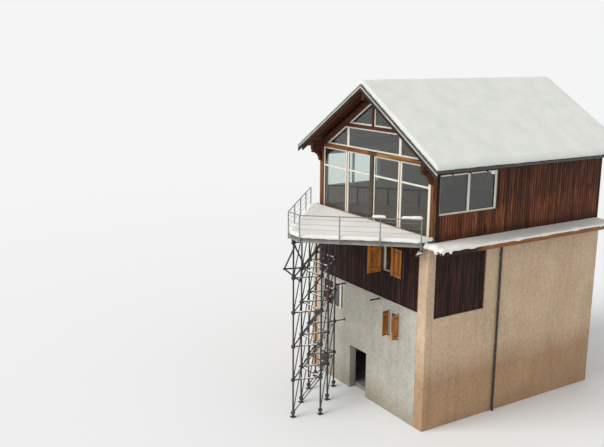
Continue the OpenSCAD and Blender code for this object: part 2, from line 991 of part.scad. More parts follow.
module barge_boards() {
    color("lightgray")
        for (y = [roof_y0 - barge_t, roof_y1])
            profile(y, barge_t)
                polygon([
                    [0, roof_z(0)], [roof_half, roof_z(roof_half)],
                    [roof_half, roof_z(roof_half) - barge_d], [0, roof_z(0) - barge_d],
                    [-roof_half, roof_z(roof_half) - barge_d], [-roof_half, roof_z(roof_half)]
                ]);
}

module deck_boards() {
    color("peru")
        translate([0, 0, deck_under])
            linear_extrude(deck_board_t)
                polygon(inset_deck(edge_t));
}

// Terrace outline moved in by d from its free edges, with the house side kept
function inset_deck(d) =
    let (p = inset(deck_pts, d))
    [[p[0][0], glaze_y], [p[1][0], glaze_y], p[2], p[3], p[4], p[5]];

// The free edges alone, moved in by d, from the left corner to the right one
function free_edge(d) =
    let (p = inset_deck(d))
    [for (i = [2 : 5]) p[i]];
function reversed(pts) = [for (i = [len(pts) - 1 : -1 : 0]) pts[i]];
// Closed outline of a strip that follows the free edges between two insets
function edge_strip(d0, d1) = concat(free_edge(d0), reversed(free_edge(d1)));

module deck_joists() {
    last = floor((deck_side_x - edge_t) / joist_pitch) * joist_pitch;
    color("dimgray")
        intersection() {
            translate([0, 0, deck_low])
                linear_extrude(deck_under - deck_low)
                    polygon(inset_deck(edge_t));
            for (x = [-last : joist_pitch : last])
                block([x - joist_w / 2, glaze_y - prow_y, deck_low],
                    [x + joist_w / 2, glaze_y, deck_under]);
        }
}

module deck_edge() {
    color("darkgray")
        translate([0, 0, deck_low])
            linear_extrude(edge_h)
                polygon(concat(
                    [[-deck_side_x, glaze_y]], free_edge(0), [[deck_side_x, glaze_y]],
                    [[deck_side_x - edge_t, glaze_y]], reversed(free_edge(edge_t)),
                    [[-deck_side_x + edge_t, glaze_y]]));
}

// Railing line outside the edge channel, from the left corner round the prow to the right one
rail_in = -rail_post_d / 2 - seat;
rail_pts = free_edge(rail_in);
function along(a, b, n) = [for (i = [0 : n - 1]) a + (b - a) * i / n];
post_pts = concat(along(rail_pts[0], rail_pts[1], left_bays), [rail_pts[1]],
    along(rail_pts[2], rail_pts[3], right_bays), [rail_pts[3]]);

// Posts fixed to the face of the edge channel
module rail_posts() {
    color("lightslategray")
        for (p = post_pts)
            translate([p[0], p[1], deck_low])
                cylinder(h = edge_h + rail_h - rail_r, d = rail_post_d, $fn = 24);
}

module handrail() {
    color("lightslategray")
        translate([0, 0, deck_z + rail_h - rail_r])
            linear_extrude(2 * rail_r)
                polygon(edge_strip(rail_in - rail_r, rail_in + rail_r));
}

// Cables stretched along the posts' inner sides
module rail_cables() {
    color("silver")
        for (k = [0 : cable_count - 1])
            translate([0, 0, deck_z + cable_z + k * cable_pitch - cable_r])
                linear_extrude(2 * cable_r)
                    polygon(edge_strip(0, 2 * cable_r));
}

// Space frame: two rows of columns along the terrace's left edge, with ball joints
// one storey over another, tied by rails, diagonals and short ties to the front wall
frame_top = deck_low - bearer_h - seat - ball_r;
storey_h = (frame_top - base_ball_z) / frame_storeys;
inner_count = outer_count - 1;
function frame_node(x, y, i, k) =
    [x - i * frame_step, glaze_y - y + i * frame_step, base_ball_z + k * storey_h];
function outer_node(i, k) = frame_node(outer_x, outer_y, i, k);
function inner_node(i, k) = frame_node(inner_x, inner_y, i, k);

// Column on a foot plate: a tube in each storey, seated between ball joints
module frame_column(foot) {
    rise = [0, 0, ball_r + seat];
    translate([foot[0] - foot_w / 2, foot[1] - foot_w / 2, 0])
        cube([foot_w, foot_w, foot_t]);
    bar([foot[0], foot[1], foot_t + seat], foot - rise, chord_r, 8);
    for (k = [0 : frame_storeys])
        translate(foot + [0, 0, k * storey_h])
            sphere(r = ball_r, $fn = 16);
    for (k = [1 : frame_storeys])
        bar(foot + [0, 0, (k - 1) * storey_h] + rise, foot + [0, 0, k * storey_h] - rise, chord_r, 8);
}

// Bracing tube between two ball joints, its ends seated on the balls
module strut(a, b) {
    reach = unit(b - a) * (ball_r + seat);
    bar(a + reach, b - reach, brace_r, 6);
}

module frame_columns() {
    color("black") {
        for (i = [0 : outer_count - 1])
            frame_column(outer_node(i, 0));
        for (i = [0 : inner_count - 1])
            frame_column(inner_node(i, 0));
    }
}

// Level tubes of each storey: along both rows and in a zigzag between them
module frame_rails() {
    color("black")
        for (k = [1 : frame_storeys]) {
            for (i = [0 : outer_count - 2])
                strut(outer_node(i, k), outer_node(i + 1, k));
            for (i = [0 : inner_count - 2])
                strut(inner_node(i, k), inner_node(i + 1, k));
            for (i = [0 : inner_count - 1]) {
                strut(outer_node(i, k), inner_node(i, k));
                strut(outer_node(i + 1, k), inner_node(i, k));
            }
        }
}

// Rising tubes: one in each bay of both rows and one from row to row at each column
module frame_diagonals() {
    color("black")
        for (k = [0 : frame_storeys - 1]) {
            for (i = [0 : outer_count - 2])
                strut(outer_node(i, k), outer_node(i + 1, k + 1));
            for (i = [0 : inner_count - 2])
                strut(inner_node(i, k), inner_node(i + 1, k + 1));
            for (i = [0 : inner_count - 1])
                strut(outer_node(i, k), inner_node(i, k + 1));
        }
}

// Tube and plate from the last column of a row back to the wall
module wall_tie(p, wall_y) {
    bar(p + [0, ball_r + seat, 0], [p[0], wall_y, p[2]], brace_r, 6);
    block([p[0] - tie_plate_w / 2, wall_y - tie_plate_t, p[2] - tie_plate_w / 2],
        [p[0] + tie_plate_w / 2, wall_y, p[2] + tie_plate_w / 2]);
}

// Ties at the top and three storeys below, to the boarding and to the render
module frame_ties() {
    color("black")
        for (k = [frame_storeys : -3 : 1]) {
            wall_y = outer_node(0, k)[2] > grey_wall_top ? clad_y : front_y;
            wall_tie(outer_node(outer_count - 1, k), wall_y);
            wall_tie(inner_node(inner_count - 1, k), wall_y);
        }
}

// Steel bearers under the joists, on the two rows of columns and along the wall's top
module deck_bearers() {
    color("dimgray") {
        block([-deck_side_x, front_y, masonry_top], [deck_side_x, glaze_y, deck_low]);
        bearer(outer_node(0, 0), outer_node(outer_count - 1, 0));
        bearer(inner_node(0, 0), inner_node(inner_count - 1, 0));
    }
}

module bearer(a, b) {
    along = unit(b - a);
    across = left_of(along) * bearer_w / 2;
    run = [along[0], along[1]] * bearer_end;
    p = [a[0], a[1]] - run;
    q = [b[0], b[1]] + run;
    translate([0, 0, deck_low - bearer_h])
        linear_extrude(bearer_h)
            polygon([p - across, q - across, q + across, p + across]);
}

// Snow of one roof side, over the barge boards at both ends, with a blunt edge at the eaves
module snow_side() {
    edge = roof_half - snow_edge_w;
    over = barge_t - snow_set_back;
    profile(roof_y0 - over, roof_y1 - roof_y0 + 2 * over)
        polygon([
            [0, roof_z(0)], [roof_half, roof_z(roof_half)],
            [roof_half, roof_z(roof_half) + eave_snow_d],
            [edge, roof_z(edge) + roof_snow_d],
            [0, roof_z(0) + roof_snow_d]
        ]);
}

module roof_snow_left() {
    color("white")
        mirror([1, 0, 0])
            snow_side();
}

module roof_snow_right() {
    color("white")
        snow_side();
}

// Snow on a side ledge and its edge beam, from x0 outwards
module ledge_snow_shape(x0) {
    rim = half_m + ledge_out;
    outer = rim + ledge_beam_t;
    low = ledge_top(rim) + rim_snow_d;
    rise = (ledge_top(half_w) + ledge_snow_d - low) / (outer - half_w);
    polygon([
        [x0, ledge_top(x0)], [rim, ledge_top(rim)], [outer, ledge_top(rim)],
        [outer, low], [x0, low + rise * (outer - x0)]
    ]);
}

module low_snow() {
    color("white") {
        both_sides()
            union() {
                profile(glaze_y, house_l)
                    ledge_snow_shape(half_w);
                profile(front_y, masonry_front_out + eps)
                    ledge_snow_shape(half_m);
            }
        translate([0, 0, deck_z])
            linear_extrude(low_snow_d)
                polygon(inset_deck(deck_snow_in));
    }
}

cellar_floor();
inner_floors();
upper_floor();
cellar_front_left();
cellar_front_right();
front_wall_low();
right_wall();
left_wall();
back_wall();
front_columns();
front_wall_mid();
cladding_panels();
window_frames();
window_glass();
back_door();
shutter_mid_left();
shutter_mid_right();
shutter_low_left();
shutter_low_right();
shutter_pintles();
wall_outriggers();
downpipe();
side_ledges();
ledge_beams();
front_posts();
front_beams();
gable_rafters();
glazing_frame_low();
glazing_frame_high();
glazing_glass();
right_wall_up();
left_wall_up();
back_wall_up();
purlins();
corbels();
rafters();
roof_left();
roof_right();
barge_boards();
deck_boards();
deck_joists();
deck_bearers();
deck_edge();
rail_posts();
handrail();
rail_cables();
frame_columns();
frame_rails();
frame_diagonals();
frame_ties();
roof_snow_left();
roof_snow_right();
low_snow();
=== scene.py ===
import math
import random

import bpy
from mathutils import Matrix, Vector, noise


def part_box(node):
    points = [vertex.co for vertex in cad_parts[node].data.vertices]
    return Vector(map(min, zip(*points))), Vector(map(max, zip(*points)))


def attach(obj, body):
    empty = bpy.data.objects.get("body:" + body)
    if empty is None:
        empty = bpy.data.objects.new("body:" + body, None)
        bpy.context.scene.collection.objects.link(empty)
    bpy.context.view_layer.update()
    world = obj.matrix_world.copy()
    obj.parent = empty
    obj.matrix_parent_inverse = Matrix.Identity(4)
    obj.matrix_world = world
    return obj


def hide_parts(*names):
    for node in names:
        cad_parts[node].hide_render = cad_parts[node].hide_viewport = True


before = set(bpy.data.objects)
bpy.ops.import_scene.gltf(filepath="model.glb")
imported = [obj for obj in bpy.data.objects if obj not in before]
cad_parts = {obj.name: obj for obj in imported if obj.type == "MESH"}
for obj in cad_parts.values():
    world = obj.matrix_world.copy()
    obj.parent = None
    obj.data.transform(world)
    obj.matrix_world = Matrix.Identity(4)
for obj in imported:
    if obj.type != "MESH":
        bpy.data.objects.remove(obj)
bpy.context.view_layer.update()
bpy.ops.object.select_all(action="DESELECT")
scene = bpy.context.scene
scene.view_settings.view_transform = "Standard"

# Camera: it stands in front of the right corner, about level with the roof, and
# looks down a little. Its place and angles follow the vanishing lines of the walls.
camera_place = (27.475, -25.54, 15.8)
camera_heading = math.radians(58.28)
camera_tilt = math.radians(77.45)
camera_roll = math.radians(0.31)
camera_data = bpy.data.cameras.new("camera")
camera_data.lens = 46.5
camera_data.sensor_width = 36
camera_data.clip_end = 500
camera = bpy.data.objects.new("camera", camera_data)
camera.matrix_world = (
    Matrix.Translation(camera_place)
    @ Matrix.Rotation(camera_heading, 4, "Z")
    @ Matrix.Rotation(camera_tilt, 4, "X")
    @ Matrix.Rotation(camera_roll, 4, "Z")
)
scene.collection.objects.link(camera)
scene.camera = camera

# Floor and light: a pale studio floor that fades into a pale background, an even
# sky and one large soft lamp from the upper left, as on an overcast winter day.
sky_level = 0.62
backdrop_level = 0.93
sky_tone = (0.975, 0.985, 0.98, 1)
lamp_level = 1.9
lamp_tone = (1.0, 0.98, 0.95)
lamp_spread = math.radians(35)
lamp_heading = math.radians(-12)
lamp_tilt = math.radians(48)
floor_size = 400
floor_drop = 0.002
floor_tone = (0.86, 0.87, 0.88, 1)
fade_start = 14
fade_end = 75


def join_nodes(tree, *pairs):
    """Link each pair of sockets, from an output to an input."""
    for a, b in pairs:
        tree.links.new(a, b)


def math_node(tree, operation, *values):
    """A math node; each value is a socket or a number."""
    node = tree.nodes.new("ShaderNodeMath")
    node.operation = operation
    for socket, value in zip(node.inputs, values):
        if isinstance(value, bpy.types.NodeSocket):
            tree.links.new(value, socket)
        else:
            socket.default_value = value
    return node.outputs[0]


def range_node(tree, value, start=0.0, end=1.0, low=0.0, high=1.0, kind="LINEAR"):
    """A value that runs from start to end, spread between low and high."""
    node = tree.nodes.new("ShaderNodeMapRange")
    node.interpolation_type = kind
    for label, limit in (("From Min", start), ("From Max", end), ("To Min", low), ("To Max", high)):
        node.inputs[label].default_value = limit
    tree.links.new(value, node.inputs["Value"])
    return node.outputs[0]


def new_material(name, roughness):
    """A node material, its tree, its Principled shader and its Object coordinates."""
    material = bpy.data.materials.new(name)
    material.use_nodes = True
    tree = material.node_tree
    shader = tree.nodes["Principled BSDF"]
    shader.inputs["Roughness"].default_value = roughness
    return material, tree, shader, tree.nodes.new("ShaderNodeTexCoord").outputs["Object"]


world = bpy.data.worlds.new("studio")
scene.world = world
world.use_nodes = True
sky_tree = world.node_tree
sky = sky_tree.nodes["Background"]
sky.inputs["Color"].default_value = sky_tone
ray_kinds = sky_tree.nodes.new("ShaderNodeLightPath")
seen = ray_kinds.outputs["Is Camera Ray"]
for ray in ("Is Glossy Ray", "Is Transmission Ray"):
    seen = math_node(sky_tree, "MAXIMUM", seen, ray_kinds.outputs[ray])
sky_strength = range_node(sky_tree, seen, low=sky_level, high=backdrop_level)
sky_tree.links.new(sky_strength, sky.inputs["Strength"])

lamp_data = bpy.data.lights.new("lamp", "SUN")
lamp_data.energy = lamp_level
lamp_data.angle = lamp_spread
lamp_data.color = lamp_tone
lamp = bpy.data.objects.new("lamp", lamp_data)
lamp.matrix_world = Matrix.Rotation(lamp_heading, 4, "Z") @ Matrix.Rotation(lamp_tilt, 4, "X")
scene.collection.objects.link(lamp)

bpy.ops.mesh.primitive_plane_add(size=floor_size, location=(0, 0, -floor_drop))
floor = bpy.context.object
floor.name = "floor"
paint, floor_tree, floor_shader, floor_place = new_material("floor", 0.9)
floor_shader.inputs["Base Color"].default_value = floor_tone
distance = floor_tree.nodes.new("ShaderNodeVectorMath")
distance.operation = "LENGTH"
glow = floor_tree.nodes.new("ShaderNodeEmission")
glow.inputs["Color"].default_value = sky_tone
glow.inputs["Strength"].default_value = backdrop_level
blend = floor_tree.nodes.new("ShaderNodeMixShader")
fade = range_node(floor_tree, distance.outputs["Value"], fade_start, fade_end, kind="SMOOTHSTEP")
join_nodes(
    floor_tree,
    (floor_place, distance.inputs[0]),
    (fade, blend.inputs[0]),
    (floor_shader.outputs[0], blend.inputs[1]),
    (glow.outputs[0], blend.inputs[2]),
    (blend.outputs[0], floor_tree.nodes["Material Output"].inputs["Surface"]),
)
floor.data.materials.append(paint)
bpy.ops.object.select_all(action="DESELECT")

# Masonry: grey mineral render on the lower front, cream render on the columns, sides
# and back. Both are trowelled by hand, stained by water and darker near the ground.
column_arris = 0.015
arris_angle = math.radians(25)
smooth_angle = 35
merge_gap = 0.0001
flat_angle = math.radians(1)
render_bump = (0.5, 0.01)
run_strength = 0.5
pit_noise = (7.0, 8.0, 0.75)
pit_tones = [(0.36, (0.80, 0.77, 0.74)), (0.56, (1.0, 1.0, 1.0))]


def group_tree(name, inputs, outputs):
    """A shader node group with named sockets and its two end nodes."""
    kinds = {"value": "NodeSocketFloat", "vector": "NodeSocketVector"}
    tree = bpy.data.node_groups.new(name, "ShaderNodeTree")
    for label, kind, default in inputs:
        socket = tree.interface.new_socket(label, in_out="INPUT", socket_type=kinds[kind])
        if default is not None:
            socket.default_value = default
    for label in outputs:
        tree.interface.new_socket(label, in_out="OUTPUT", socket_type=kinds["value"])
    return tree, tree.nodes.new("NodeGroupInput"), tree.nodes.new("NodeGroupOutput")


def group_node(tree, group, vector):
    """A node group placed in a material, reading the given coordinates."""
    node = tree.nodes.new("ShaderNodeGroup")
    node.node_tree = group
    tree.links.new(vector, node.inputs["Vector"])
    return node


def noise_node(tree, vector, scale, detail=4.0, rough=0.55, twist=0.0):
    """A noise value from 0 to 1 at the given coordinates."""
    node = tree.nodes.new("ShaderNodeTexNoise")
    for label, value in (("Scale", scale), ("Detail", detail), ("Roughness", rough), ("Distortion", twist)):
        node.inputs[label].default_value = value
    tree.links.new(vector, node.inputs["Vector"])
    return node.outputs["Fac"]


def ramp_node(tree, value, stops):
    """A colour ramp with (place, colour) stops; a grey stop may be one number."""
    node = tree.nodes.new("ShaderNodeValToRGB")
    ramp = node.color_ramp
    for i, (place, tone) in enumerate(stops):
        stop = ramp.elements[i] if i < 2 else ramp.elements.new(place)
        stop.position = place
        stop.color = (tone, tone, tone, 1) if isinstance(tone, float) else (*tone, 1)
    tree.links.new(value, node.inputs["Fac"])
    return node.outputs["Color"]


def mix_node(tree, factor, a, b, blend="MIX"):
    """A colour mix; each of factor, a and b is a socket, a number or a colour."""
    node = tree.nodes.new("ShaderNodeMix")
    node.data_type = "RGBA"
    node.blend_type = blend
    for socket, value in ((node.inputs[0], factor), (node.inputs[6], a), (node.inputs[7], b)):
        if isinstance(value, bpy.types.NodeSocket):
            tree.links.new(value, socket)
        elif isinstance(value, (int, float)):
            socket.default_value = value
        else:
            socket.default_value = (*value, 1)
    return node.outputs[2]


def stretched(tree, vector, scale):
    """Coordinates scaled along each axis; a small scale draws a pattern out."""
    node = tree.nodes.new("ShaderNodeMapping")
    node.inputs["Scale"].default_value = scale
    tree.links.new(vector, node.inputs["Vector"])
    return node.outputs["Vector"]


def along_axis(tree, vector, axis):
    """The X, Y or Z part of some coordinates."""
    node = tree.nodes.new("ShaderNodeSeparateXYZ")
    tree.links.new(vector, node.inputs[0])
    return node.outputs[axis]


def bump_node(tree, shader, height, strength, depth):
    """Relief on a shader, from a value that gives its height."""
    node = tree.nodes.new("ShaderNodeBump")
    node.inputs["Strength"].default_value = strength
    node.inputs["Distance"].default_value = depth
    join_nodes(tree, (height, node.inputs["Height"]), (node.outputs["Normal"], shader.inputs["Normal"]))


# The stain group: streaks that run down, blotches, and a damp zone up to a height.
stain, stain_in, stain_out = group_tree(
    "stains",
    [("Vector", "vector", None), ("Damp height", "value", 1.0)],
    ["Streaks", "Blotches", "Damp", "Height"],
)
wall_place = stain_in.outputs["Vector"]
streaks = noise_node(stain, stretched(stain, wall_place, (2.2, 2.2, 0.16)), 1.6, 5.0, 0.6)
blotches = noise_node(stain, wall_place, 0.55, 6.0, 0.62)
grit = noise_node(stain, wall_place, 55.0, 3.0, 0.6)
trowel_marks = noise_node(stain, wall_place, 5.0, 3.0, 0.5)
damp_edge = noise_node(stain, wall_place, 1.1, 4.0)
damp = math_node(stain, "SUBTRACT", stain_in.outputs["Damp height"], along_axis(stain, wall_place, "Z"))
damp = math_node(stain, "MULTIPLY_ADD", damp, 0.8, damp_edge)
damp.node.use_clamp = True
join_nodes(
    stain,
    (ramp_node(stain, streaks, [(0.50, 0.0), (0.75, 1.0)]), stain_out.inputs["Streaks"]),
    (ramp_node(stain, blotches, [(0.3, 0.0), (0.7, 1.0)]), stain_out.inputs["Blotches"]),
    (math_node(stain, "MULTIPLY_ADD", grit, 0.35, trowel_marks), stain_out.inputs["Height"]),
    (damp, stain_out.inputs["Damp"]),
)


def render_coat(name, pale, dark, streak, damp_tone, damp_height):
    """Mineral render: two tones, run marks, small pits and a damp foot."""
    material, tree, shader, place = new_material(name, 0.92)
    marks = group_node(tree, stain, place)
    marks.inputs["Damp height"].default_value = damp_height
    colour = mix_node(tree, marks.outputs["Blotches"], dark, pale)
    runs = math_node(tree, "MULTIPLY", marks.outputs["Streaks"], run_strength)
    pits = ramp_node(tree, noise_node(tree, place, *pit_noise), pit_tones)
    for amount, tone in ((runs, streak), (1.0, pits), (marks.outputs["Damp"], damp_tone)):
        colour = mix_node(tree, amount, colour, tone, "MULTIPLY")
    tree.links.new(colour, shader.inputs["Base Color"])
    bump_node(tree, shader, marks.outputs["Height"], *render_bump)
    return material


def finish_node(node, material):
    """The CAD piece keeps its shape and takes this material."""
    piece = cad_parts[node]
    piece.data.materials.clear()
    piece.data.materials.append(material)


def take_up(*pieces):
    """Select these pieces and no others, and make the first one active."""
    bpy.ops.object.select_all(action="DESELECT")
    for piece in pieces:
        piece.select_set(True)
    bpy.context.view_layer.objects.active = pieces[0]


def clean_copy(node, name):
    """A merged copy of a CAD piece, selected and active, to be shaped further."""
    piece = bpy.data.objects.new(name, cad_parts[node].data.copy())
    scene.collection.objects.link(piece)
    take_up(piece)
    bpy.ops.object.mode_set(mode="EDIT")
    bpy.ops.mesh.select_all(action="SELECT")
    bpy.ops.mesh.remove_doubles(threshold=merge_gap)
    bpy.ops.mesh.dissolve_limited(angle_limit=flat_angle)
    bpy.ops.object.mode_set(mode="OBJECT")
    return piece


def apply_modifier(piece, name, kind, **settings):
    """Shape a piece with one modifier, which is applied at once."""
    bpy.context.view_layer.objects.active = piece
    modifier = piece.modifiers.new(name, kind)
    for label, value in settings.items():
        setattr(modifier, label, value)
    bpy.ops.object.modifier_apply(modifier=name)


def round_arrises(piece, radius, segments=2):
    """Take the sharp edges off a piece."""
    apply_modifier(
        piece, "arris", "BEVEL",
        width=radius, segments=segments, limit_method="ANGLE", angle_limit=arris_angle,
    )


def dress(piece, material, body="house", stands_for=(), smooth=smooth_angle):
    """Finish a shaped piece: material, shading, body and the nodes it stands for."""
    take_up(piece)
    piece.data.materials.clear()
    piece.data.materials.append(material)
    bpy.ops.object.shade_smooth_by_angle(angle=math.radians(smooth))
    piece.select_set(False)
    if stands_for:
        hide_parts(*stands_for)
    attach(piece, body)
    return piece


def softened_copy(node, material, radius, segments=2):
    """A copy of a CAD piece with rounded arrises, standing for that piece."""
    piece = clean_copy(node, node + "_shaped")
    round_arrises(piece, radius, segments)
    return dress(piece, material, stands_for=(node,))


grey_coat = render_coat(
    "grey_render", (0.56, 0.54, 0.475), (0.44, 0.425, 0.375), (0.80, 0.77, 0.72), (0.70, 0.65, 0.58), 0.6
)
cream_coat = render_coat(
    "cream_render", (0.71, 0.53, 0.37), (0.57, 0.415, 0.28), (0.78, 0.72, 0.65), (0.72, 0.62, 0.52), 2.6
)
for node in ("cellar_front_left", "cellar_front_right", "front_wall_low"):
    finish_node(node, grey_coat)
for node in ("right_wall", "left_wall", "back_wall"):
    finish_node(node, cream_coat)
softened_copy("front_columns", cream_coat, column_arris)

# Floors: cast concrete slabs in the cellar and over it, and a timber floor on the upper
# storey whose grain runs from front to back.


def clouded(name, roughness, cloud, stops, relief=None):
    """A finish in clouds of close tones.

    Cloud is the scale, detail and roughness of a noise; relief, where the surface has
    one, is the scale of its grain, its strength and its depth in metres."""
    material, tree, shader, place = new_material(name, roughness)
    tone = ramp_node(tree, noise_node(tree, place, *cloud), stops)
    tree.links.new(tone, shader.inputs["Base Color"])
    if relief:
        scale, strength, depth = relief
        bump_node(tree, shader, noise_node(tree, place, scale, 3.0), strength, depth)
    return material


def tinted(tree, colour, place, across):
    """A colour multiplied by tints laid out along the object's axes.

    Across lists an axis and its stops; each stop is a place in metres and a tint."""
    for axis, stops in across:
        start, end = stops[0][0], stops[-1][0]
        span = range_node(tree, along_axis(tree, place, axis), start, end)
        tint = ramp_node(tree, span, [((at - start) / (end - start), tone) for at, tone in stops])
        colour = mix_node(tree, 1.0, colour, tint, "MULTIPLY")
    return colour


cast = clouded("concrete", 0.85, (0.9, 7.0, 0.6), [(0.3, (0.23, 0.22, 0.21)), (0.7, (0.33, 0.32, 0.30))])
for node in ("cellar_floor", "inner_floors"):
    finish_node(node, cast)

# The timber-grain group: growth rings and fibres drawn out along the grain.
grain, grain_in, grain_out = group_tree(
    "timber_grain", [("Vector", "vector", None)], ["Rings", "Fibres", "Height"]
)
rings = noise_node(grain, grain_in.outputs["Vector"], 1.0, 3.0, 0.5, 1.2)
fibres = noise_node(grain, grain_in.outputs["Vector"], 9.0, 5.0, 0.7)
join_nodes(
    grain,
    (rings, grain_out.inputs["Rings"]),
    (fibres, grain_out.inputs["Fibres"]),
    (math_node(grain, "MULTIPLY_ADD", rings, 0.5, fibres), grain_out.inputs["Height"]),
)
grain_x = (0.8, 14.0, 14.0)
grain_y = (14.0, 0.8, 14.0)
grain_z = (14.0, 14.0, 0.8)
board_shift = (37.0, 53.0, 71.0)
board_tones = [(0.0, 0.38), (0.35, 0.72), (0.75, 1.0)]
fibre_tone = (0.45, 0.42, 0.40)
worn_tone = (0.60, 0.57, 0.55)
fibre_wear = 0.55
weather_noise = (0.7, 5.0, 0.6)
timber_sheen = 0.22
timber_shine = (-0.12, 0.2)
timber_bump = (0.35, 0.004)


def timber(name, dark, mid, pale, along, roughness=0.62, weathering=0.35, boards=False, across=()):
    """Stained timber; along is the coordinate scale, small in the direction of the grain.

    With boards, each board carries a value "tone" that shifts its colour and its grain.
    Across gives tints that change the colour from one end to the other; on the red boards they are partly
    painted shade."""
    material, tree, shader, place = new_material(name, roughness)
    shader.inputs["Specular IOR Level"].default_value = timber_sheen
    source = place
    if boards:
        tone = tree.nodes.new("ShaderNodeAttribute")
        tone.attribute_name = "tone"
        shift = tree.nodes.new("ShaderNodeVectorMath")
        shift.operation = "MULTIPLY_ADD"
        shift.inputs[1].default_value = board_shift
        join_nodes(tree, (tone.outputs["Fac"], shift.inputs[0]), (place, shift.inputs[2]))
        source = shift.outputs[0]
    lines = group_node(tree, grain, stretched(tree, source, along))
    colour = ramp_node(tree, lines.outputs["Rings"], [(0.28, dark), (0.5, mid), (0.72, pale)])
    if boards:
        colour = mix_node(tree, 1.0, colour, ramp_node(tree, tone.outputs["Fac"], board_tones), "MULTIPLY")
    colour = tinted(tree, colour, place, across)
    fibre = lines.outputs["Fibres"]
    cloud = noise_node(tree, place, *weather_noise)
    for value, amount, wear in ((fibre, fibre_wear, fibre_tone), (cloud, weathering, worn_tone)):
        colour = mix_node(tree, math_node(tree, "MULTIPLY", value, amount), colour, wear, "MULTIPLY")
    shine = range_node(tree, fibre, low=roughness + timber_shine[0], high=roughness + timber_shine[1])
    join_nodes(tree, (colour, shader.inputs["Base Color"]), (shine, shader.inputs["Roughness"]))
    bump_node(tree, shader, lines.outputs["Height"], *timber_bump)
    return material


floor_planks = timber("floor_planks", (0.16, 0.09, 0.05), (0.24, 0.14, 0.08), (0.32, 0.20, 0.12), grain_y)
finish_node("upper_floor", floor_planks)

# Dark boarding: upright rough-sawn boards, stained almost black-brown and nailed side
# by side, on the front between the columns and in the recess of each side wall.
board_w = 0.150
board_gap = 0.012
board_edge = 0.005
board_jitter = 0.003
board_share = 0.45
shortest_board = 0.05
leaf_lap = 0.025
panel_start = -4.815
panel_end = -1.975
panel_foot = 4.95
random.seed(11)


def block(transform):
    """A cube of one metre with a transform worked into its mesh."""
    bpy.ops.mesh.primitive_cube_add(size=1, location=(0, 0, 0))
    piece = bpy.context.object
    piece.data.transform(transform)
    return piece


def pick(piece, kind, chosen):
    """Open a piece in edit mode with the edges or faces selected that pass a test."""
    bpy.ops.object.mode_set(mode="EDIT")
    bpy.ops.mesh.select_mode(type=kind)
    bpy.ops.mesh.select_all(action="DESELECT")
    bpy.ops.object.mode_set(mode="OBJECT")
    for part in piece.data.edges if kind == "EDGE" else piece.data.polygons:
        part.select = chosen(part)
    bpy.ops.object.mode_set(mode="EDIT")


def board_master(width, thickness, edge):
    """One metre of board standing upright, its long arrises bevelled in edit mode."""
    board = block(Matrix.Diagonal((width, thickness, 1, 1)) @ Matrix.Translation((0, 0, 0.5)))

    def upright(line):
        a, b = (board.data.vertices[i].co for i in line.vertices)
        return abs(a.z - b.z) > 0.5

    pick(board, "EDGE", upright)
    bpy.ops.mesh.bevel(offset=edge, segments=1, affect="EDGES")
    bpy.ops.object.mode_set(mode="OBJECT")
    board.select_set(False)
    return board


def set_tone(piece):
    """Give a board the random value that the timber materials read."""
    tone = piece.data.attributes.new("tone", "FLOAT", "POINT")
    tone.data.foreach_set("value", [random.random()] * len(piece.data.vertices))


def join_pieces(name, pieces):
    """Several pieces made one, with a new name."""
    take_up(*pieces)
    bpy.ops.object.join()
    pieces[0].name = name
    return pieces[0]


def set_copies(name, master, places, toned=False):
    """Copies of a master mesh at the given places, joined; the master goes.

    Toned copies carry one random value each."""
    copies = []
    for matrix in places:
        copy = bpy.data.objects.new(name, master.data.copy())
        copy.data.transform(matrix)
        if matrix.determinant() < 0:
            copy.data.flip_normals()
        if toned:
            set_tone(copy)
        scene.collection.objects.link(copy)
        copies.append(copy)
    piece = join_pieces(name, copies)
    piece.select_set(False)
    bpy.data.objects.remove(master)
    return piece


def upright_boards(facing, depth, width, start, end, low, high, holes=()):
    """Places of the boards on a wall that faces front, back, left or right.

    They stand side by side from start to end, with their middle at the given depth, and
    are cut at the holes. Their width is adjusted so that a whole number of them fits."""
    turn = {"front": 0, "back": math.pi, "right": math.pi / 2, "left": -math.pi / 2}[facing]
    count = round((end - start) / width)
    pitch = (end - start) / count
    places = []
    for i in range(count):
        middle = start + (i + 0.5) * pitch
        spans = [(low, high)]
        for left, right, sill, head in holes:
            if middle + pitch * board_share > left and middle - pitch * board_share < right:
                parts = [part for a, b in spans for part in ((a, min(b, sill)), (max(a, head), b))]
                spans = [(a, b) for a, b in parts if b - a > shortest_board]
        for a, b in spans:
            spot = (middle, depth, a) if facing in ("front", "back") else (depth, middle, a)
            shift = Matrix.Translation((0, random.uniform(-board_jitter, board_jitter), 0))
            size = Matrix.Diagonal((pitch / width, 1, b - a, 1))
            places.append(Matrix.Translation(spot) @ Matrix.Rotation(turn, 4, "Z") @ shift @ size)
    return places


dark_stain = timber(
    "dark_boards", (0.010, 0.003, 0.002), (0.038, 0.014, 0.011), (0.115, 0.045, 0.034),
    grain_z, 0.7, 0.3, boards=True,
)
panel_low, panel_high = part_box("cladding_panels")
infill_low, infill_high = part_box("front_wall_mid")
left_leaf_low, left_leaf_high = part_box("shutter_mid_left")
clad_front = panel_low.y
clad_t = infill_low.y - clad_front
mid_window = (
    (left_leaf_low.x + left_leaf_high.x) / 2,
    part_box("shutter_mid_right")[1].x,
    left_leaf_low.z + leaf_lap,
    left_leaf_high.z - leaf_lap,
)
clad_board = board_master(board_w - board_gap, clad_t - 2 * board_jitter, board_edge)
places = upright_boards(
    "front", clad_front + clad_t / 2, board_w, infill_low.x, infill_high.x, infill_low.z, infill_high.z,
    [mid_window],
)
for facing, side in (("left", -1), ("right", 1)):
    panel_x = side * (panel_high.x - clad_t / 2)
    places += upright_boards(facing, panel_x, board_w, panel_start, panel_end, panel_foot, panel_high.z)
dark_boarding = set_copies("dark_boarding", clad_board, places, True)
dress(dark_boarding, dark_stain, stands_for=("cladding_panels",))
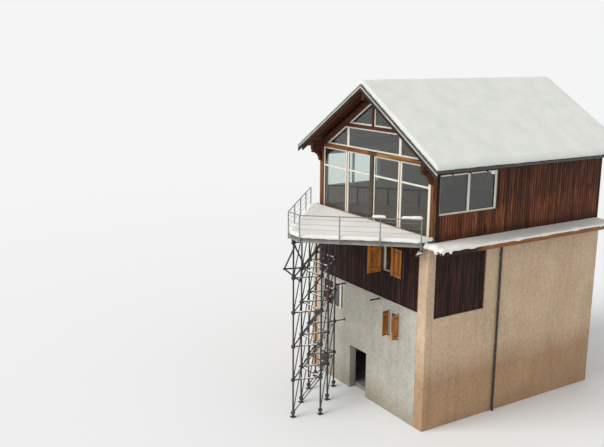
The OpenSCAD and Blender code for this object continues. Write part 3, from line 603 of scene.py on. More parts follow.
rough_timber = timber("rough_timber", (0.10, 0.05, 0.03), (0.15, 0.08, 0.05), (0.22, 0.12, 0.07), grain_z)
finish_node("front_wall_mid", rough_timber)
finish_node("back_door", rough_timber)

# Red-brown boarding of the timber storey: upright boards with open joints, stained and
# bleached unevenly, on the long sides and on the back gable, cut to the roof slope.
wall_board_w = 0.150
wall_board_gap = 0.024
wall_board_t = 0.022
roof_slope = 0.6128
slope_cut = 0.004
gable_spare = 0.05
window_sill = 9.25
window_head = 10.93
side_hole = (-4.625, -1.415, window_sill, window_head)
back_holes = [(-2.8, -1.2, window_sill, window_head), (1.2, 2.8, window_sill, window_head)]
boards_foot = 8.10
boards_top = 11.14
# Painted shade, partly damp as well: the boards darken and cool towards the foot, where the shadow above
# the ledge snow falls, and high up under the eave.
damp_and_shade_tints = [
    (8.05, (0.30, 0.32, 0.36)), (8.28, (0.50, 0.50, 0.50)), (8.60, (1.02, 1.06, 1.12)),
    (9.25, (1.02, 1.06, 1.12)), (9.80, (0.66, 0.70, 0.78)), (14.0, (0.66, 0.70, 0.78)),
]
# Near the front corner, over the strip before the side window, the boards turn nearly black.
corner_tints = [(-4.80, 0.16), (-4.62, 0.20), (-4.58, 1.0), (5.90, 1.0)]
red_stain = timber(
    "red_boards", (0.055, 0.012, 0.005), (0.21, 0.056, 0.019), (0.48, 0.175, 0.062),
    grain_z, 0.6, 0.5, boards=True, across=[("Z", damp_and_shade_tints), ("Y", corner_tints)],
)
wall_low, wall_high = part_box("right_wall_up")
back_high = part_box("back_wall_up")[1]
boards_out = wall_board_t / 2 + board_jitter
wall_board = board_master(wall_board_w - wall_board_gap, wall_board_t, board_edge)
places = []
for facing, side in (("left", -1), ("right", 1)):
    places += upright_boards(
        facing, side * (wall_high.x + boards_out), wall_board_w, wall_low.y, back_high.y,
        boards_foot, boards_top, [side_hole],
    )
side_boarding = set_copies("side_boarding", wall_board, places, True)
dress(side_boarding, red_stain)


def cut_away(piece, point, normal):
    """Cut a piece with a plane and close it; what lies beyond the plane goes."""
    take_up(piece)
    bpy.ops.object.mode_set(mode="EDIT")
    bpy.ops.mesh.select_all(action="SELECT")
    bpy.ops.mesh.bisect(plane_co=point, plane_no=normal, use_fill=True, clear_outer=True)
    bpy.ops.object.mode_set(mode="OBJECT")


for side, name in ((-1, "left"), (1, "right")):
    back_board = board_master(wall_board_w - wall_board_gap, wall_board_t, board_edge)
    start, end = sorted((0, side * (back_high.x + wall_board_t)))
    places = upright_boards(
        "back", back_high.y + boards_out, wall_board_w, start, end, boards_foot, back_high.z + gable_spare,
        [hole for hole in back_holes if hole[0] * side > 0],
    )
    gable_boards = set_copies("gable_boarding_" + name, back_board, places, True)
    cut_away(gable_boards, (0, 0, back_high.z - slope_cut), (side * roof_slope, 0, 1))
    dress(gable_boards, red_stain)

# The wall behind the boards: pine lining indoors, and black felt outside that shows as the dark joints
# between the boards; the felt's near-black also stands in for the shade in the joints.
felt_depth = 0.03
# Black felt, near-black so that it also stands in for the shade in the joints.
felt_and_shade_tone = (0.012, 0.009, 0.008)
lining_tones = [(0.3, (0.30, 0.20, 0.12)), (0.7, (0.46, 0.33, 0.21))]
wall_core, core_tree, core_shader, core_place = new_material("wall_core", 0.8)
core_grain = group_node(core_tree, grain, stretched(core_tree, core_place, grain_z))
lining = ramp_node(core_tree, core_grain.outputs["Rings"], lining_tones)
whole = core_tree.nodes.new("ShaderNodeVectorMath")
whole.operation = "ABSOLUTE"
core_tree.links.new(core_place, whole.inputs[0])
outside = [
    math_node(core_tree, "GREATER_THAN", along_axis(core_tree, whole.outputs[0], axis), face - felt_depth)
    for axis, face in (("X", wall_high.x), ("Y", back_high.y))
]
felted = mix_node(core_tree, math_node(core_tree, "MAXIMUM", *outside), lining, felt_and_shade_tone)
core_tree.links.new(felted, core_shader.inputs["Base Color"])
for node in ("right_wall_up", "left_wall_up", "back_wall_up"):
    finish_node(node, wall_core)

# Windows: cream-painted timber frames with softened arrises, and clear double glazing
# that is a little grey-green and not quite clean.
frame_arris = 0.008
pane_tone = (0.80, 0.86, 0.84, 1)
pane_haze = (0.01, 0.06)
haze_noise = (1.3, 4.0)


def frame_coat(name, dull, bright):
    """Paint on planed timber, brushed on and gone patchy."""
    return clouded(name, 0.45, (2.5, 6.0, 0.65), [(0.3, dull), (0.62, bright)], (60.0, 0.15, 0.002))


frame_paint = frame_coat("frame_paint", (0.70, 0.655, 0.56), (0.84, 0.80, 0.71))
for node in ("window_frames", "glazing_frame_low", "glazing_frame_high"):
    softened_copy(node, frame_paint, frame_arris)

pane, pane_tree, pane_shader, pane_place = new_material("pane", 0.03)
pane_shader.inputs["Base Color"].default_value = pane_tone
pane_shader.inputs["IOR"].default_value = 1.5
pane_shader.inputs["Transmission Weight"].default_value = 1.0
haze = noise_node(pane_tree, pane_place, *haze_noise)
haze = range_node(pane_tree, haze, low=pane_haze[0], high=pane_haze[1])
pane_tree.links.new(haze, pane_shader.inputs["Roughness"])
for node in ("window_glass", "glazing_glass"):
    finish_node(node, pane)

# Cover strips: thin painted boards nailed on the frames of the side windows, two front
# windows and the right corner, and tan ones on two posts of the glazing and its sill.
cover_t = 0.014
cover_gap = 0.004
cover_edge = 0.003
rear_gap = 0.002
side_middle_w = 0.130
side_rear_w = 0.135
side_sill_h = 0.085
mid_frame_y = -5.025
low_frame_y = -5.165
front_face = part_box("front_posts")[0].y
front_covers = [
    (1.170, 1.330, mid_frame_y, 6.36, 7.50),
    (-2.010, -1.860, low_frame_y, 3.65, 4.89),
    (3.860, 4.000, front_face, 8.31, 10.62),
]
tan_post_x = 1.940
tan_post_w = 0.052
tan_post_foot = 8.33
tan_post_short = 0.01
tan_sill = (-3.89, 3.855, 8.312, 8.40)


def fitted_bar(size, at, edge, tilt=0.0):
    """A bevelled bar with its middle at a point, tilted about the X axis."""
    bar = block(Matrix.Diagonal((*size, 1)))
    round_arrises(bar, edge, 1)
    bar.data.transform(Matrix.Translation(at) @ Matrix.Rotation(tilt, 4, "X"))
    set_tone(bar)
    bar.select_set(False)
    return bar


def spanning_bar(low, high, edge=cover_edge):
    """A bevelled bar between two opposite corners."""
    low, high = Vector(low), Vector(high)
    return fitted_bar(high - low, (low + high) / 2, edge)


window_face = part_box("window_frames")[1].x
glazed_low, glazed_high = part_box("glazing_frame_low")
side_start, side_rear, side_foot, side_head = side_hole
side_middle = (side_start + side_rear) / 2
upright_covers = (
    (side_middle - side_middle_w / 2, side_middle + side_middle_w / 2),
    (side_rear - side_rear_w, side_rear - rear_gap),
)
covers = []
for side in (-1, 1):
    x0, x1 = sorted((side * window_face, side * (window_face + cover_t)))
    for start, end in upright_covers:
        covers.append(spanning_bar((x0, start, side_foot + cover_gap), (x1, end, side_head - cover_gap)))
    sill_start = (x0, side_start + cover_gap, side_foot + cover_gap)
    covers.append(spanning_bar(sill_start, (x1 + rear_gap, side_rear - cover_gap, side_foot + side_sill_h)))
for left, right, face_y, foot, top in front_covers:
    covers.append(spanning_bar((left, face_y - cover_t, foot), (right, face_y, top)))
dress(join_pieces("frame_covers", covers), frame_paint)
tan_strips = [
    (x - tan_post_w / 2, x + tan_post_w / 2, tan_post_foot, glazed_high.z - tan_post_short)
    for x in (-tan_post_x, tan_post_x)
] + [tan_sill]
strips = [
    spanning_bar((left, glazed_low.y - cover_t, foot), (right, glazed_low.y, top))
    for left, right, foot, top in tan_strips
]
tan_paint = frame_coat("tan_paint", (0.30, 0.19, 0.10), (0.46, 0.31, 0.18))
dress(join_pieces("tan_strips", strips), tan_paint)

# Structural timber: ochre-brown posts and beams of the glazed front, darker red-brown
# gable timbers, purlins, rafters and corbels, all planed with softened arrises.
timber_arris = 0.010
gable_timber_z = 12.0
post_tints = [
    (-4.3, (0.85, 0.66, 0.58)), (-0.5, (0.85, 0.66, 0.58)), (-0.3, (0.40, 0.62, 1.0)),
    (0.4, (0.40, 0.62, 1.0)), (0.6, (0.9, 0.8, 0.7)), (4.3, (0.9, 0.8, 0.7)),
]
beam_tints = [
    (-4.3, (0.85, 0.60, 0.50)), (-0.4, (0.85, 0.60, 0.50)), (-0.2, (0.34, 0.30, 0.26)),
    (0.3, (0.30, 0.27, 0.25)), (0.45, (1.15, 1.15, 0.95)), (1.9, (1.15, 1.15, 0.95)),
    (2.6, (0.95, 0.85, 0.70)), (4.3, (0.9, 0.80, 0.65)),
]
post_wood = timber(
    "post_wood", (0.060, 0.024, 0.012), (0.26, 0.115, 0.045), (0.44, 0.23, 0.10),
    grain_z, 0.6, 0.6, across=[("X", post_tints)],
)
beam_wood = timber(
    "beam_wood", (0.10, 0.042, 0.018), (0.28, 0.130, 0.048), (0.46, 0.26, 0.110),
    grain_x, 0.6, 0.5, across=[("X", beam_tints)],
)
rake_wood = timber(
    "rake_wood", (0.050, 0.014, 0.007), (0.095, 0.026, 0.011), (0.15, 0.050, 0.022), grain_x, 0.65
)
roof_wood = timber(
    "roof_wood", (0.040, 0.012, 0.006), (0.080, 0.022, 0.010), (0.13, 0.042, 0.018), grain_y, 0.65
)
for node, wood in (("front_posts", post_wood), ("front_beams", beam_wood)):
    piece = softened_copy(node, wood, timber_arris)
    piece.data.materials.append(rake_wood)
    for face in piece.data.polygons:
        face.material_index = int(face.center.z > gable_timber_z)
for node, wood in (
    ("gable_rafters", rake_wood), ("rafters", rake_wood), ("purlins", roof_wood), ("corbels", roof_wood),
):
    softened_copy(node, wood, timber_arris)

# Roof: a dark sheet-metal covering under the snow, and soffit boards under it that run
# with the ridge and show from below at the overhangs and in the gable.
soffit_t = 0.020
soffit_w = 0.120
soffit_gap = 0.005
soffit_clear = 0.002
soffit_edge = 0.004
tail_back = 0.250
skin_t = 0.165
skin_arris = 0.006
roof_pitch = math.radians(31.5)
roof_cos = math.cos(roof_pitch)
roof_low, roof_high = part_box("roof_right")
eave_x = roof_high.x
ridge_top = roof_high.z
skin_v = skin_t / roof_cos
sheet = clouded(
    "roof_sheet", 0.5, (3.0, 6.0, 0.6), [(0.3, (0.035, 0.034, 0.034)), (0.7, (0.075, 0.072, 0.070))]
)
soffit_stain = timber(
    "soffit_boards", (0.045, 0.013, 0.006), (0.090, 0.026, 0.011), (0.15, 0.050, 0.020),
    grain_y, 0.6, 0.3, boards=True,
)
for side, name in ((-1, "left"), (1, "right")):
    cover = clean_copy("roof_" + name, "roof_cover_" + name)
    for v in cover.data.vertices:
        if v.co.z < ridge_top - abs(v.co.x) * roof_slope - skin_v / 2:
            v.co.z += soffit_t / roof_cos
    round_arrises(cover, skin_arris)
    dress(cover, sheet, stands_for=("roof_" + name,))
    run = (eave_x - tail_back) / roof_cos
    count = round(run / soffit_w)
    pitch = run / count
    soffit_board = board_master(pitch - soffit_gap, soffit_t - soffit_clear, soffit_edge)
    places = []
    for i in range(count):
        x = (i + 0.5) * pitch * roof_cos
        z = ridge_top - x * roof_slope - skin_v + soffit_t / 2 / roof_cos
        places.append(
            Matrix.Translation((side * x, roof_low.y, z))
            @ Matrix.Rotation(side * roof_pitch, 4, "Y")
            @ Matrix.Rotation(-math.pi / 2, 4, "X")
            @ Matrix.Diagonal((1, 1, roof_high.y - roof_low.y, 1))
        )
    soffit = set_copies("soffit_boards_" + name, soffit_board, places, True)
    dress(soffit, soffit_stain)

# Verges: a dark drip edge on top, a pale sheet-metal fascia and a dark board below it,
# on the front and back gables, mitred at the ridge.
verge_t = 0.045
verge_gap = 0.002
verge_arris = 0.004
verge_low, verge_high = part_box("barge_boards")
fascia = clouded(
    "verge_fascia", 0.5, (2.0, 6.0, 0.65), [(0.3, (0.30, 0.285, 0.26)), (0.7, (0.58, 0.555, 0.51))]
)
verge_wood = timber(
    "verge_wood", (0.012, 0.008, 0.007), (0.032, 0.022, 0.018), (0.085, 0.062, 0.050), grain_x, 0.7, 0.5
)
verge_bands = [
    ("verge_drip", 0.0, 0.050, 0.0, sheet, "roof_skin", ()),
    ("verge_fascia", 0.050, 0.140, 0.006, fascia, "roof_edge", ("barge_boards",)),
    ("verge_board", 0.140, 0.300, 0.016, verge_wood, "soffit_timber", ()),
]
rake = Matrix.Identity(4)
rake[2][0] = -roof_slope
for name, top, bottom, back, material, slot, nodes in verge_bands:
    thick = verge_t - back
    band = block(
        Matrix.Translation((0, 0, ridge_top - bottom))
        @ Matrix.Diagonal((eave_x, thick, bottom - top - verge_gap, 1))
        @ Matrix.Translation((0.5, 0, 0.5))
    )
    round_arrises(band, verge_arris)
    places = [
        Matrix.Translation((0, y, 0)) @ mirror @ rake
        for y in (verge_low.y + back + thick / 2, verge_high.y - back - thick / 2)
        for mirror in (Matrix.Identity(4), Matrix.Diagonal((-1, 1, 1, 1)))
    ]
    dress(set_copies(name, band, places), material, stands_for=nodes)

# Lower left window: its left light is closed by a panel of upright red-brown boards,
# nailed side by side into the frame.
light_start = -3.255
light_foot = 3.685
light_h = 1.165
light_pitch = 0.124
light_gap = 0.004
light_out = 0.010
light_boards = 6
light_board_t = 0.018
panel_stain = timber(
    "panel_stain", (0.050, 0.012, 0.009), (0.115, 0.028, 0.020), (0.19, 0.055, 0.038),
    grain_z, 0.6, 0.4, boards=True,
)
light_board = board_master(light_pitch - light_gap, light_board_t, cover_edge)
places = [
    Matrix.Translation((light_start + i * light_pitch, low_frame_y - light_out, light_foot))
    @ Matrix.Diagonal((1, 1, light_h, 1))
    for i in range(light_boards)
]
dress(set_copies("light_panel", light_board, places, True), panel_stain)

# Side ledges: sloping timber shelves on the side walls under the upper windows, each with an orange-brown
# edge beam that turns nearly black towards its front end.
edge_tints = [(-5.3, 0.10), (-3.4, 0.12), (-2.9, 1.0), (5.9, 1.0)]
edge_wood = timber(
    "edge_beam", (0.20, 0.075, 0.025), (0.33, 0.125, 0.042), (0.44, 0.20, 0.075),
    grain_y, 0.55, 0.3, across=[("Y", edge_tints)],
)
finish_node("side_ledges", roof_wood)
softened_copy("ledge_beams", edge_wood, timber_arris)

# Shutters: orange-brown leaves of upright boards on two ledges with a diagonal brace,
# hung on black strap hinges; three stand open, square to the wall, and one is closed.
leaf_t = 0.040
leaf_board_w = 0.14
leaf_board_t = 0.022
leaf_gap = 0.002
leaf_edge = 0.004
ledge_t = 0.018
ledge_h = 0.090
ledge_in = 0.160
ledge_short = 0.06
ledge_edge = 0.003
brace_w = 0.07
brace_in = 0.16
brace_short = 0.06
strap_h = 0.035
strap_t = 0.003
strap_edge = 0.001
strap_share = 0.8
shutter_stain = timber(
    "shutter_wood", (0.32, 0.090, 0.012), (0.80, 0.28, 0.046), (0.95, 0.46, 0.11),
    grain_z, 0.5, 0.3, boards=True,
)
iron_tones = [
    (0.35, (0.014, 0.014, 0.018)), (0.58, (0.040, 0.040, 0.043)),
    (0.72, (0.13, 0.125, 0.12)), (0.85, (0.075, 0.040, 0.025)),
]
iron = clouded("black_steel", 0.5, (6.0, 6.0, 0.65), iron_tones, (90.0, 0.2, 0.002))

for node, outer, closed in (
    ("shutter_mid_left", -1, False), ("shutter_mid_right", 1, True),
    ("shutter_low_left", -1, False), ("shutter_low_right", 1, False),
):
    low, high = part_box(node)
    size = high - low
    leaf_l, leaf_h = max(size.x, size.y), size.z
    if closed:
        hinge = Matrix.Translation((high.x, (low.y + high.y) / 2, low.z))
        hang = hinge @ Matrix.Rotation(-math.pi / 2, 4, "Z")
    else:
        hang = Matrix.Translation(((low.x + high.x) / 2, high.y, low.z))
    boards_x = outer * (leaf_t - leaf_board_t) / 2
    ledge_x = -outer * (leaf_t - ledge_t) / 2
    strap_x = outer * (leaf_t + strap_t) / 2
    count = round(leaf_l / leaf_board_w)
    pitch = leaf_l / count
    leaf_board = board_master(pitch - leaf_gap, leaf_board_t, leaf_edge)
    places = [
        Matrix.Translation((boards_x, (i + 0.5) * pitch - leaf_l, 0))
        @ Matrix.Rotation(math.pi / 2, 4, "Z")
        @ Matrix.Diagonal((1, 1, leaf_h, 1))
        for i in range(count)
    ]
    parts = [set_copies(node + "_boards", leaf_board, places, True)]
    levels = (ledge_in, leaf_h - ledge_in)
    ledge_size = (ledge_t, leaf_l - ledge_short, ledge_h)
    parts += [fitted_bar(ledge_size, (ledge_x, -leaf_l / 2, z), ledge_edge) for z in levels]
    rise, reach = levels[1] - levels[0] - ledge_h, leaf_l - brace_in
    brace_size = (ledge_t, math.hypot(rise, reach) - brace_short, brace_w)
    brace_at = (ledge_x, -leaf_l / 2, leaf_h / 2)
    parts.append(fitted_bar(brace_size, brace_at, ledge_edge, math.atan2(rise, reach)))
    leaf = join_pieces(node + "_leaf", parts)
    leaf.data.transform(hang)
    dress(leaf, shutter_stain, body=node, stands_for=(node,))
    strap_size = (strap_t, leaf_l * strap_share, strap_h)
    bars = [fitted_bar(strap_size, (strap_x, -leaf_l * strap_share / 2, z), strap_edge) for z in levels]
    straps = join_pieces(node + "_straps", bars)
    straps.data.transform(hang)
    dress(straps, iron, body=node)
for node in ("shutter_pintles", "wall_outriggers", "downpipe"):
    finish_node(node, iron)

# Terrace: weathered boards over steel joists, cut to the prow outline and held by a grey
# steel edge channel. The corner points are those of the construction.
glaze_y = -4.975
prow = [(-4.290, -0.400), (0.240, -4.370), (1.110, -4.370), (4.290, -0.660)]
channel_t = 0.060
plank_w = 0.140
plank_gap = 0.007
plank_edge = 0.004
deck_low, deck_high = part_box("deck_boards")
deck_z = deck_high.z
deck_wood = timber(
    "deck_wood", (0.13, 0.085, 0.055), (0.22, 0.155, 0.105), (0.32, 0.24, 0.17),
    grain_y, 0.75, 0.4, boards=True,
)
plank = board_master(plank_w - plank_gap, deck_z - deck_low.z, plank_edge)
count = round((deck_high.x - deck_low.x) / plank_w)
pitch = (deck_high.x - deck_low.x) / count
places = [
    Matrix.Translation((deck_low.x + (i + 0.5) * pitch, glaze_y, (deck_low.z + deck_z) / 2))
    @ Matrix.Rotation(math.pi / 2, 4, "X")
    @ Matrix.Diagonal((1, 1, glaze_y - deck_low.y, 1))
    for i in range(count)
]
planks = set_copies("deck_planks", plank, places, True)
for a, b in zip(prow, prow[1:]):
    edge = Vector((b[0] - a[0], b[1] - a[1], 0)).normalized()
    out = Vector((edge.y, -edge.x, 0))
    cut_away(planks, Vector((a[0], glaze_y + a[1], 0)) - out * channel_t, out)
dress(planks, deck_wood, stands_for=("deck_boards",))

# Edge channel: a grey-painted steel C section along the free edges, its web set in between two flanges,
# with painted shade on the web and along the top. The joists under the deck have the same paint.
flange_t = 0.028
web_back = 0.022
channel_arris = 0.004
web_area = 0.09
web_start = 0.1
steel_tones = [(0.3, (0.24, 0.235, 0.22)), (0.55, (0.36, 0.355, 0.34)), (0.8, (0.48, 0.475, 0.45))]
run_tone = (0.6, 0.58, 0.55)
run_stretch = (6.0, 6.0, 0.5)
run_share = 0.6
# Painted shade: the web is darker and a band along the top near-black, where shade falls on the C section;
# the right-hand end is darker as well.
channel_tints = [
    ("Z", [(8.10, 1.0), (8.165, 1.0), (8.18, 0.62), (8.262, 0.62), (8.278, 0.20), (8.31, 0.20)]),
    ("X", [(4.0, 1.0), (4.26, 1.0), (4.285, 0.25), (4.3, 0.25)]),
]


def steel_coat(name, across=()):
    """Grey paint on steel, cloudy and with run marks; across gives tints."""
    material, tree, shader, place = new_material(name, 0.45)
    colour = ramp_node(tree, noise_node(tree, place, 2.2, 7.0, 0.65), steel_tones)
    marks = noise_node(tree, stretched(tree, place, run_stretch), 2.0, 4.0)
    colour = mix_node(tree, math_node(tree, "MULTIPLY", marks, run_share), colour, run_tone, "MULTIPLY")
    tree.links.new(tinted(tree, colour, place, across), shader.inputs["Base Color"])
    return material


finish_node("deck_joists", steel_coat("grey_steel"))
finish_node("deck_bearers", iron)
channel = clean_copy("deck_edge", "edge_channel")
middle = Vector((0, glaze_y, 0))


def web_face(face):
    """Whether a face is the upright outer side of the channel, past the glazing."""
    upright = abs(face.normal.z) < 0.1 and face.area > web_area
    outward = (face.center - middle).normalized().dot(face.normal) > 0
    return upright and outward and face.center.y < glaze_y - web_start


pick(channel, "FACE", web_face)
bpy.ops.mesh.inset(thickness=flange_t, use_individual=False)
bpy.ops.mesh.extrude_region_shrink_fatten(TRANSFORM_OT_shrink_fatten={"value": -web_back})
bpy.ops.object.mode_set(mode="OBJECT")
round_arrises(channel, channel_arris)
dress(channel, steel_coat("channel_coat_and_shade", channel_tints), stands_for=("deck_edge",))

# Railing: galvanised round posts, each held to the face of the edge channel by two clamp
# plates, a round handrail on top and three stretched cables.
post_r = 0.025
handrail_arris = 0.0195
clamp_size = (0.070, 0.016, 0.050)
clamp_edge = 0.003
clamp_levels = (-0.045, -0.145)
left_bays = 4
right_bays = 3
zinc, zinc_tree, zinc_shader, zinc_place = new_material("galvanised", 0.42)
zinc_shader.inputs["Metallic"].default_value = 0.45
flakes = zinc_tree.nodes.new("ShaderNodeTexVoronoi")
flakes.inputs["Scale"].default_value = 60.0
zinc_tones = [(0.2, (0.20, 0.203, 0.20)), (0.8, (0.33, 0.333, 0.325))]
zinc_tone = ramp_node(zinc_tree, flakes.outputs["Color"], zinc_tones)
join_nodes(zinc_tree, (zinc_place, flakes.inputs["Vector"]), (zinc_tone, zinc_shader.inputs["Base Color"]))
finish_node("rail_posts", zinc)
finish_node("rail_cables", zinc)
softened_copy("handrail", zinc, handrail_arris, 4)


def inset_prow(distance):
    """The free corner points of the terrace moved inwards, in the house's frame."""
    lines = []
    outline = [(prow[0][0], 0.0)] + prow + [(prow[-1][0], 0.0)]
    for a, b in zip(outline, outline[1:]):
        edge = Vector((b[0] - a[0], b[1] - a[1])).normalized()
        lines.append((Vector(a) + Vector((-edge.y, edge.x)) * distance, edge))
    points = []
    for (p, d), (q, e) in zip(lines, lines[1:]):
        cross = d.x * e.y - d.y * e.x
        t = ((q.x - p.x) * e.y - (q.y - p.y) * e.x) / cross
        points.append(Vector((p.x + d.x * t, glaze_y + p.y + d.y * t, 0)))
    return points


def along_level(run):
    """The turn about Z that points a piece's X axis along a level direction."""
    return Matrix.Rotation(math.atan2(run.y, run.x), 4, "Z")


rail_line = inset_prow(-post_r)
clamp = fitted_bar(clamp_size, (0, post_r - clamp_size[1] / 2, 0), clamp_edge)
places = []
for start, end, bays in ((rail_line[0], rail_line[1], left_bays), (rail_line[2], rail_line[3], right_bays)):
    turn = along_level((end - start).normalized())
    for i in range(bays + 1):
        for z in clamp_levels:
            places.append(Matrix.Translation(start.lerp(end, i / bays) + Vector((0, 0, deck_z + z))) @ turn)
dress(set_copies("post_clamps", clamp, places), zinc)

# Space frame: black-painted steel tubes on ball joints, screwed into the balls; each
# level tube and diagonal ends in a hexagonal sleeve.
tube_sides = 6
sleeve_r = 0.034
sleeve_l = 0.070
sleeve_in = 0.030
sleeve_edge = 0.004
for node in ("frame_columns", "frame_rails", "frame_diagonals", "frame_ties"):
    finish_node(node, iron)


def tubes_of(node):
    """End points of each straight six-sided tube of a CAD piece."""
    clean_copy(node, "loose")
    bpy.ops.object.mode_set(mode="EDIT")
    bpy.ops.mesh.separate(type="LOOSE")
    bpy.ops.object.mode_set(mode="OBJECT")
    ends = []
    for prism in list(bpy.context.selected_objects):
        caps = [face.center.copy() for face in prism.data.polygons if len(face.vertices) == tube_sides]
        if len(caps) == 2:
            ends.append(sorted(caps, key=lambda cap: tuple(round(v, 3) for v in cap)))
        bpy.data.objects.remove(prism)
    return sorted(ends, key=lambda pair: [round(v, 3) for cap in pair for v in cap])


def tube_master(sides, radius, length, edge):
    """An upright bar with its middle at the origin and its ends softened."""
    bpy.ops.mesh.primitive_cylinder_add(vertices=sides, radius=radius, depth=length, location=(0, 0, 0))
    tube = bpy.context.object
    round_arrises(tube, edge, 1)
    return tube


def aimed(way):
    """The turn that points a piece's Z axis along a direction."""
    return way.to_track_quat("Z", "Y").to_matrix().to_4x4()


sleeve = tube_master(tube_sides, sleeve_r, sleeve_l, sleeve_edge)
places = []
for a, b in tubes_of("frame_rails") + tubes_of("frame_diagonals"):
    way = (b - a).normalized()
    for end, step in ((a, way), (b, -way)):
        places.append(Matrix.Translation(end + step * (sleeve_l / 2 + sleeve_in)) @ aimed(way))
dress(set_copies("tube_sleeves", sleeve, places), iron)

# Loose braces: stout round bars added across the frame near its top, each screwed into
# a ball where they meet.
brace_r = 0.036
brace_sides = 10
brace_edge = 0.006
joint_r = 0.062
joint_flat = 0.9
brace_points = {
    "a": (0.63, -4.31, -0.45), "b": (1.36, -3.74, -0.45), "c": (-0.26, -4.30, -1.65),
    "d": (0.03, -3.41, -1.65), "e": (0.49, -3.97, -2.05),
}
deck_origin = Vector((0, glaze_y, deck_z))
brace_bar = tube_master(brace_sides, brace_r, 1, brace_edge)
places = []
for ends in ("ac", "cd", "ad", "be", "ce"):
    a, b = (Vector(brace_points[end]) + deck_origin for end in ends)
    length = Matrix.Diagonal((1, 1, (b - a).length, 1))
    places.append(Matrix.Translation((a + b) / 2) @ aimed(b - a) @ length)
dress(set_copies("loose_braces", brace_bar, places), iron)


def ball(segments, rings, radius=1):
    """A ball at the origin, which is one metre in radius unless a radius is given."""
    bpy.ops.mesh.primitive_uv_sphere_add(
        segments=segments, ring_count=rings, radius=radius, location=(0, 0, 0)
    )
    return bpy.context.object


joint = ball(14, 8, joint_r)
joint.data.transform(Matrix.Diagonal((1, 1, joint_flat, 1)))
places = [Matrix.Translation(Vector(point) + deck_origin) for point in brace_points.values()]
dress(set_copies("brace_joints", joint, places), iron, smooth=60)

# Snow: one soft blanket over the whole roof, thinner at the eaves, and banks on the
# ledges and the terrace, melted back near the warm glass.
roof_cell = 0.075
roof_rounds = 6
roof_sink = 0.03
roof_hem = (0.03, 0.03)
bank_cell = 0.042
bank_rounds = 4
bank_sink = 0.02
bank_hem = (0.04, 0.045)
melt_depth = 0.11
melt_width = 0.30
melt_x = 4.2
melt_from = 0.06
eave_strip = 0.15
eave_margin = 0.004
gable_margin = 0.02
deck_strip = 0.10
deck_reach = 0.03
ledge_margin = 0.01
hem_slope = 0.3
broad_wave = 2.3
fine_wave = 6.1
fine_wave_share = 0.35
drift = bpy.data.textures.new("drift", "CLOUDS")
drift.noise_scale = 0.9
drift.noise_depth = 2


def snow_finish(name, shade, lit):
    """Fresh snow: soft drifts and a fine grain, in two close tones."""
    material, tree, shader, place = new_material(name, 0.75)
    shader.inputs["Specular IOR Level"].default_value = 0.3
    drifts = noise_node(tree, place, 1.2, 4.0)
    crystals = noise_node(tree, place, 40.0, 5.0, 0.7)
    tree.links.new(ramp_node(tree, drifts, [(0.3, shade), (0.7, lit)]), shader.inputs["Base Color"])
    bump_node(tree, shader, math_node(tree, "MULTIPLY_ADD", crystals, 0.12, drifts), 0.5, 0.05)
    return material


def soften_snow(piece, cell, rounds, sink):
    """Remesh a snow body evenly, round it, and let its surface sink a little in places."""
    apply_modifier(piece, "cells", "REMESH", mode="VOXEL", voxel_size=cell)
    apply_modifier(piece, "even", "SMOOTH", factor=0.5, iterations=rounds)
    apply_modifier(
        piece, "hollows", "DISPLACE",
        texture=drift, texture_coords="LOCAL", direction="Z", mid_level=1.0, strength=sink,
    )


def wavy_hem(piece, reach, droop, low_part, limit):
    """Push the upright edges of a snow body out and down by an uneven amount.

    The limit is the widest X and the least and greatest Y that the snow may reach."""
    normals = [v.normal.copy() for v in piece.data.vertices]
    for v, normal in zip(piece.data.vertices, normals):
        side = Vector((normal.x, normal.y, 0))
        if side.length < hem_slope:
            continue
        wave = 0.5 + 0.5 * noise.noise(v.co * broad_wave) + fine_wave_share * noise.noise(v.co * fine_wave)
        wave = max(0.0, min(1.0, wave)) * side.length
        spot = v.co + side.normalized() * reach * wave
        spot.x = max(-limit[0], min(limit[0], spot.x))
        spot.y = max(limit[1], min(limit[2], spot.y))
        if low_part(v.co):
            spot.z -= droop * wave
        v.co = spot


# Painted light and shade: the roof snow and the lower snow are one snow in two tones, darker on the roof
# and paler on the ledges, terrace, handrail and frame.
roof_snow = snow_finish("roof_snow", (0.73, 0.745, 0.715), (0.81, 0.82, 0.775))
low_snow = snow_finish("low_snow", (0.86, 0.855, 0.81), (0.92, 0.91, 0.87))
# Painted shade: a grey copy of the same snow, for the narrow ledge, which lies in shade.
shaded_snow = snow_finish("shaded_snow", (0.42, 0.41, 0.38), (0.62, 0.61, 0.58))
eave_limit = (eave_x - eave_margin, roof_low.y + gable_margin, roof_high.y - gable_margin)
low_limit = (eave_x - ledge_margin, deck_low.y - deck_reach, roof_high.y)
left_blanket = clean_copy("roof_snow_left", "roof_blanket")
right_blanket = clean_copy("roof_snow_right", "roof_blanket_right")
blanket = join_pieces("roof_blanket", [left_blanket, right_blanket])
soften_snow(blanket, roof_cell, roof_rounds, roof_sink)
wavy_hem(blanket, *roof_hem, lambda spot: abs(spot.x) > eave_x - eave_strip, eave_limit)
dress(blanket, roof_snow, stands_for=("roof_snow_left", "roof_snow_right"), smooth=60)

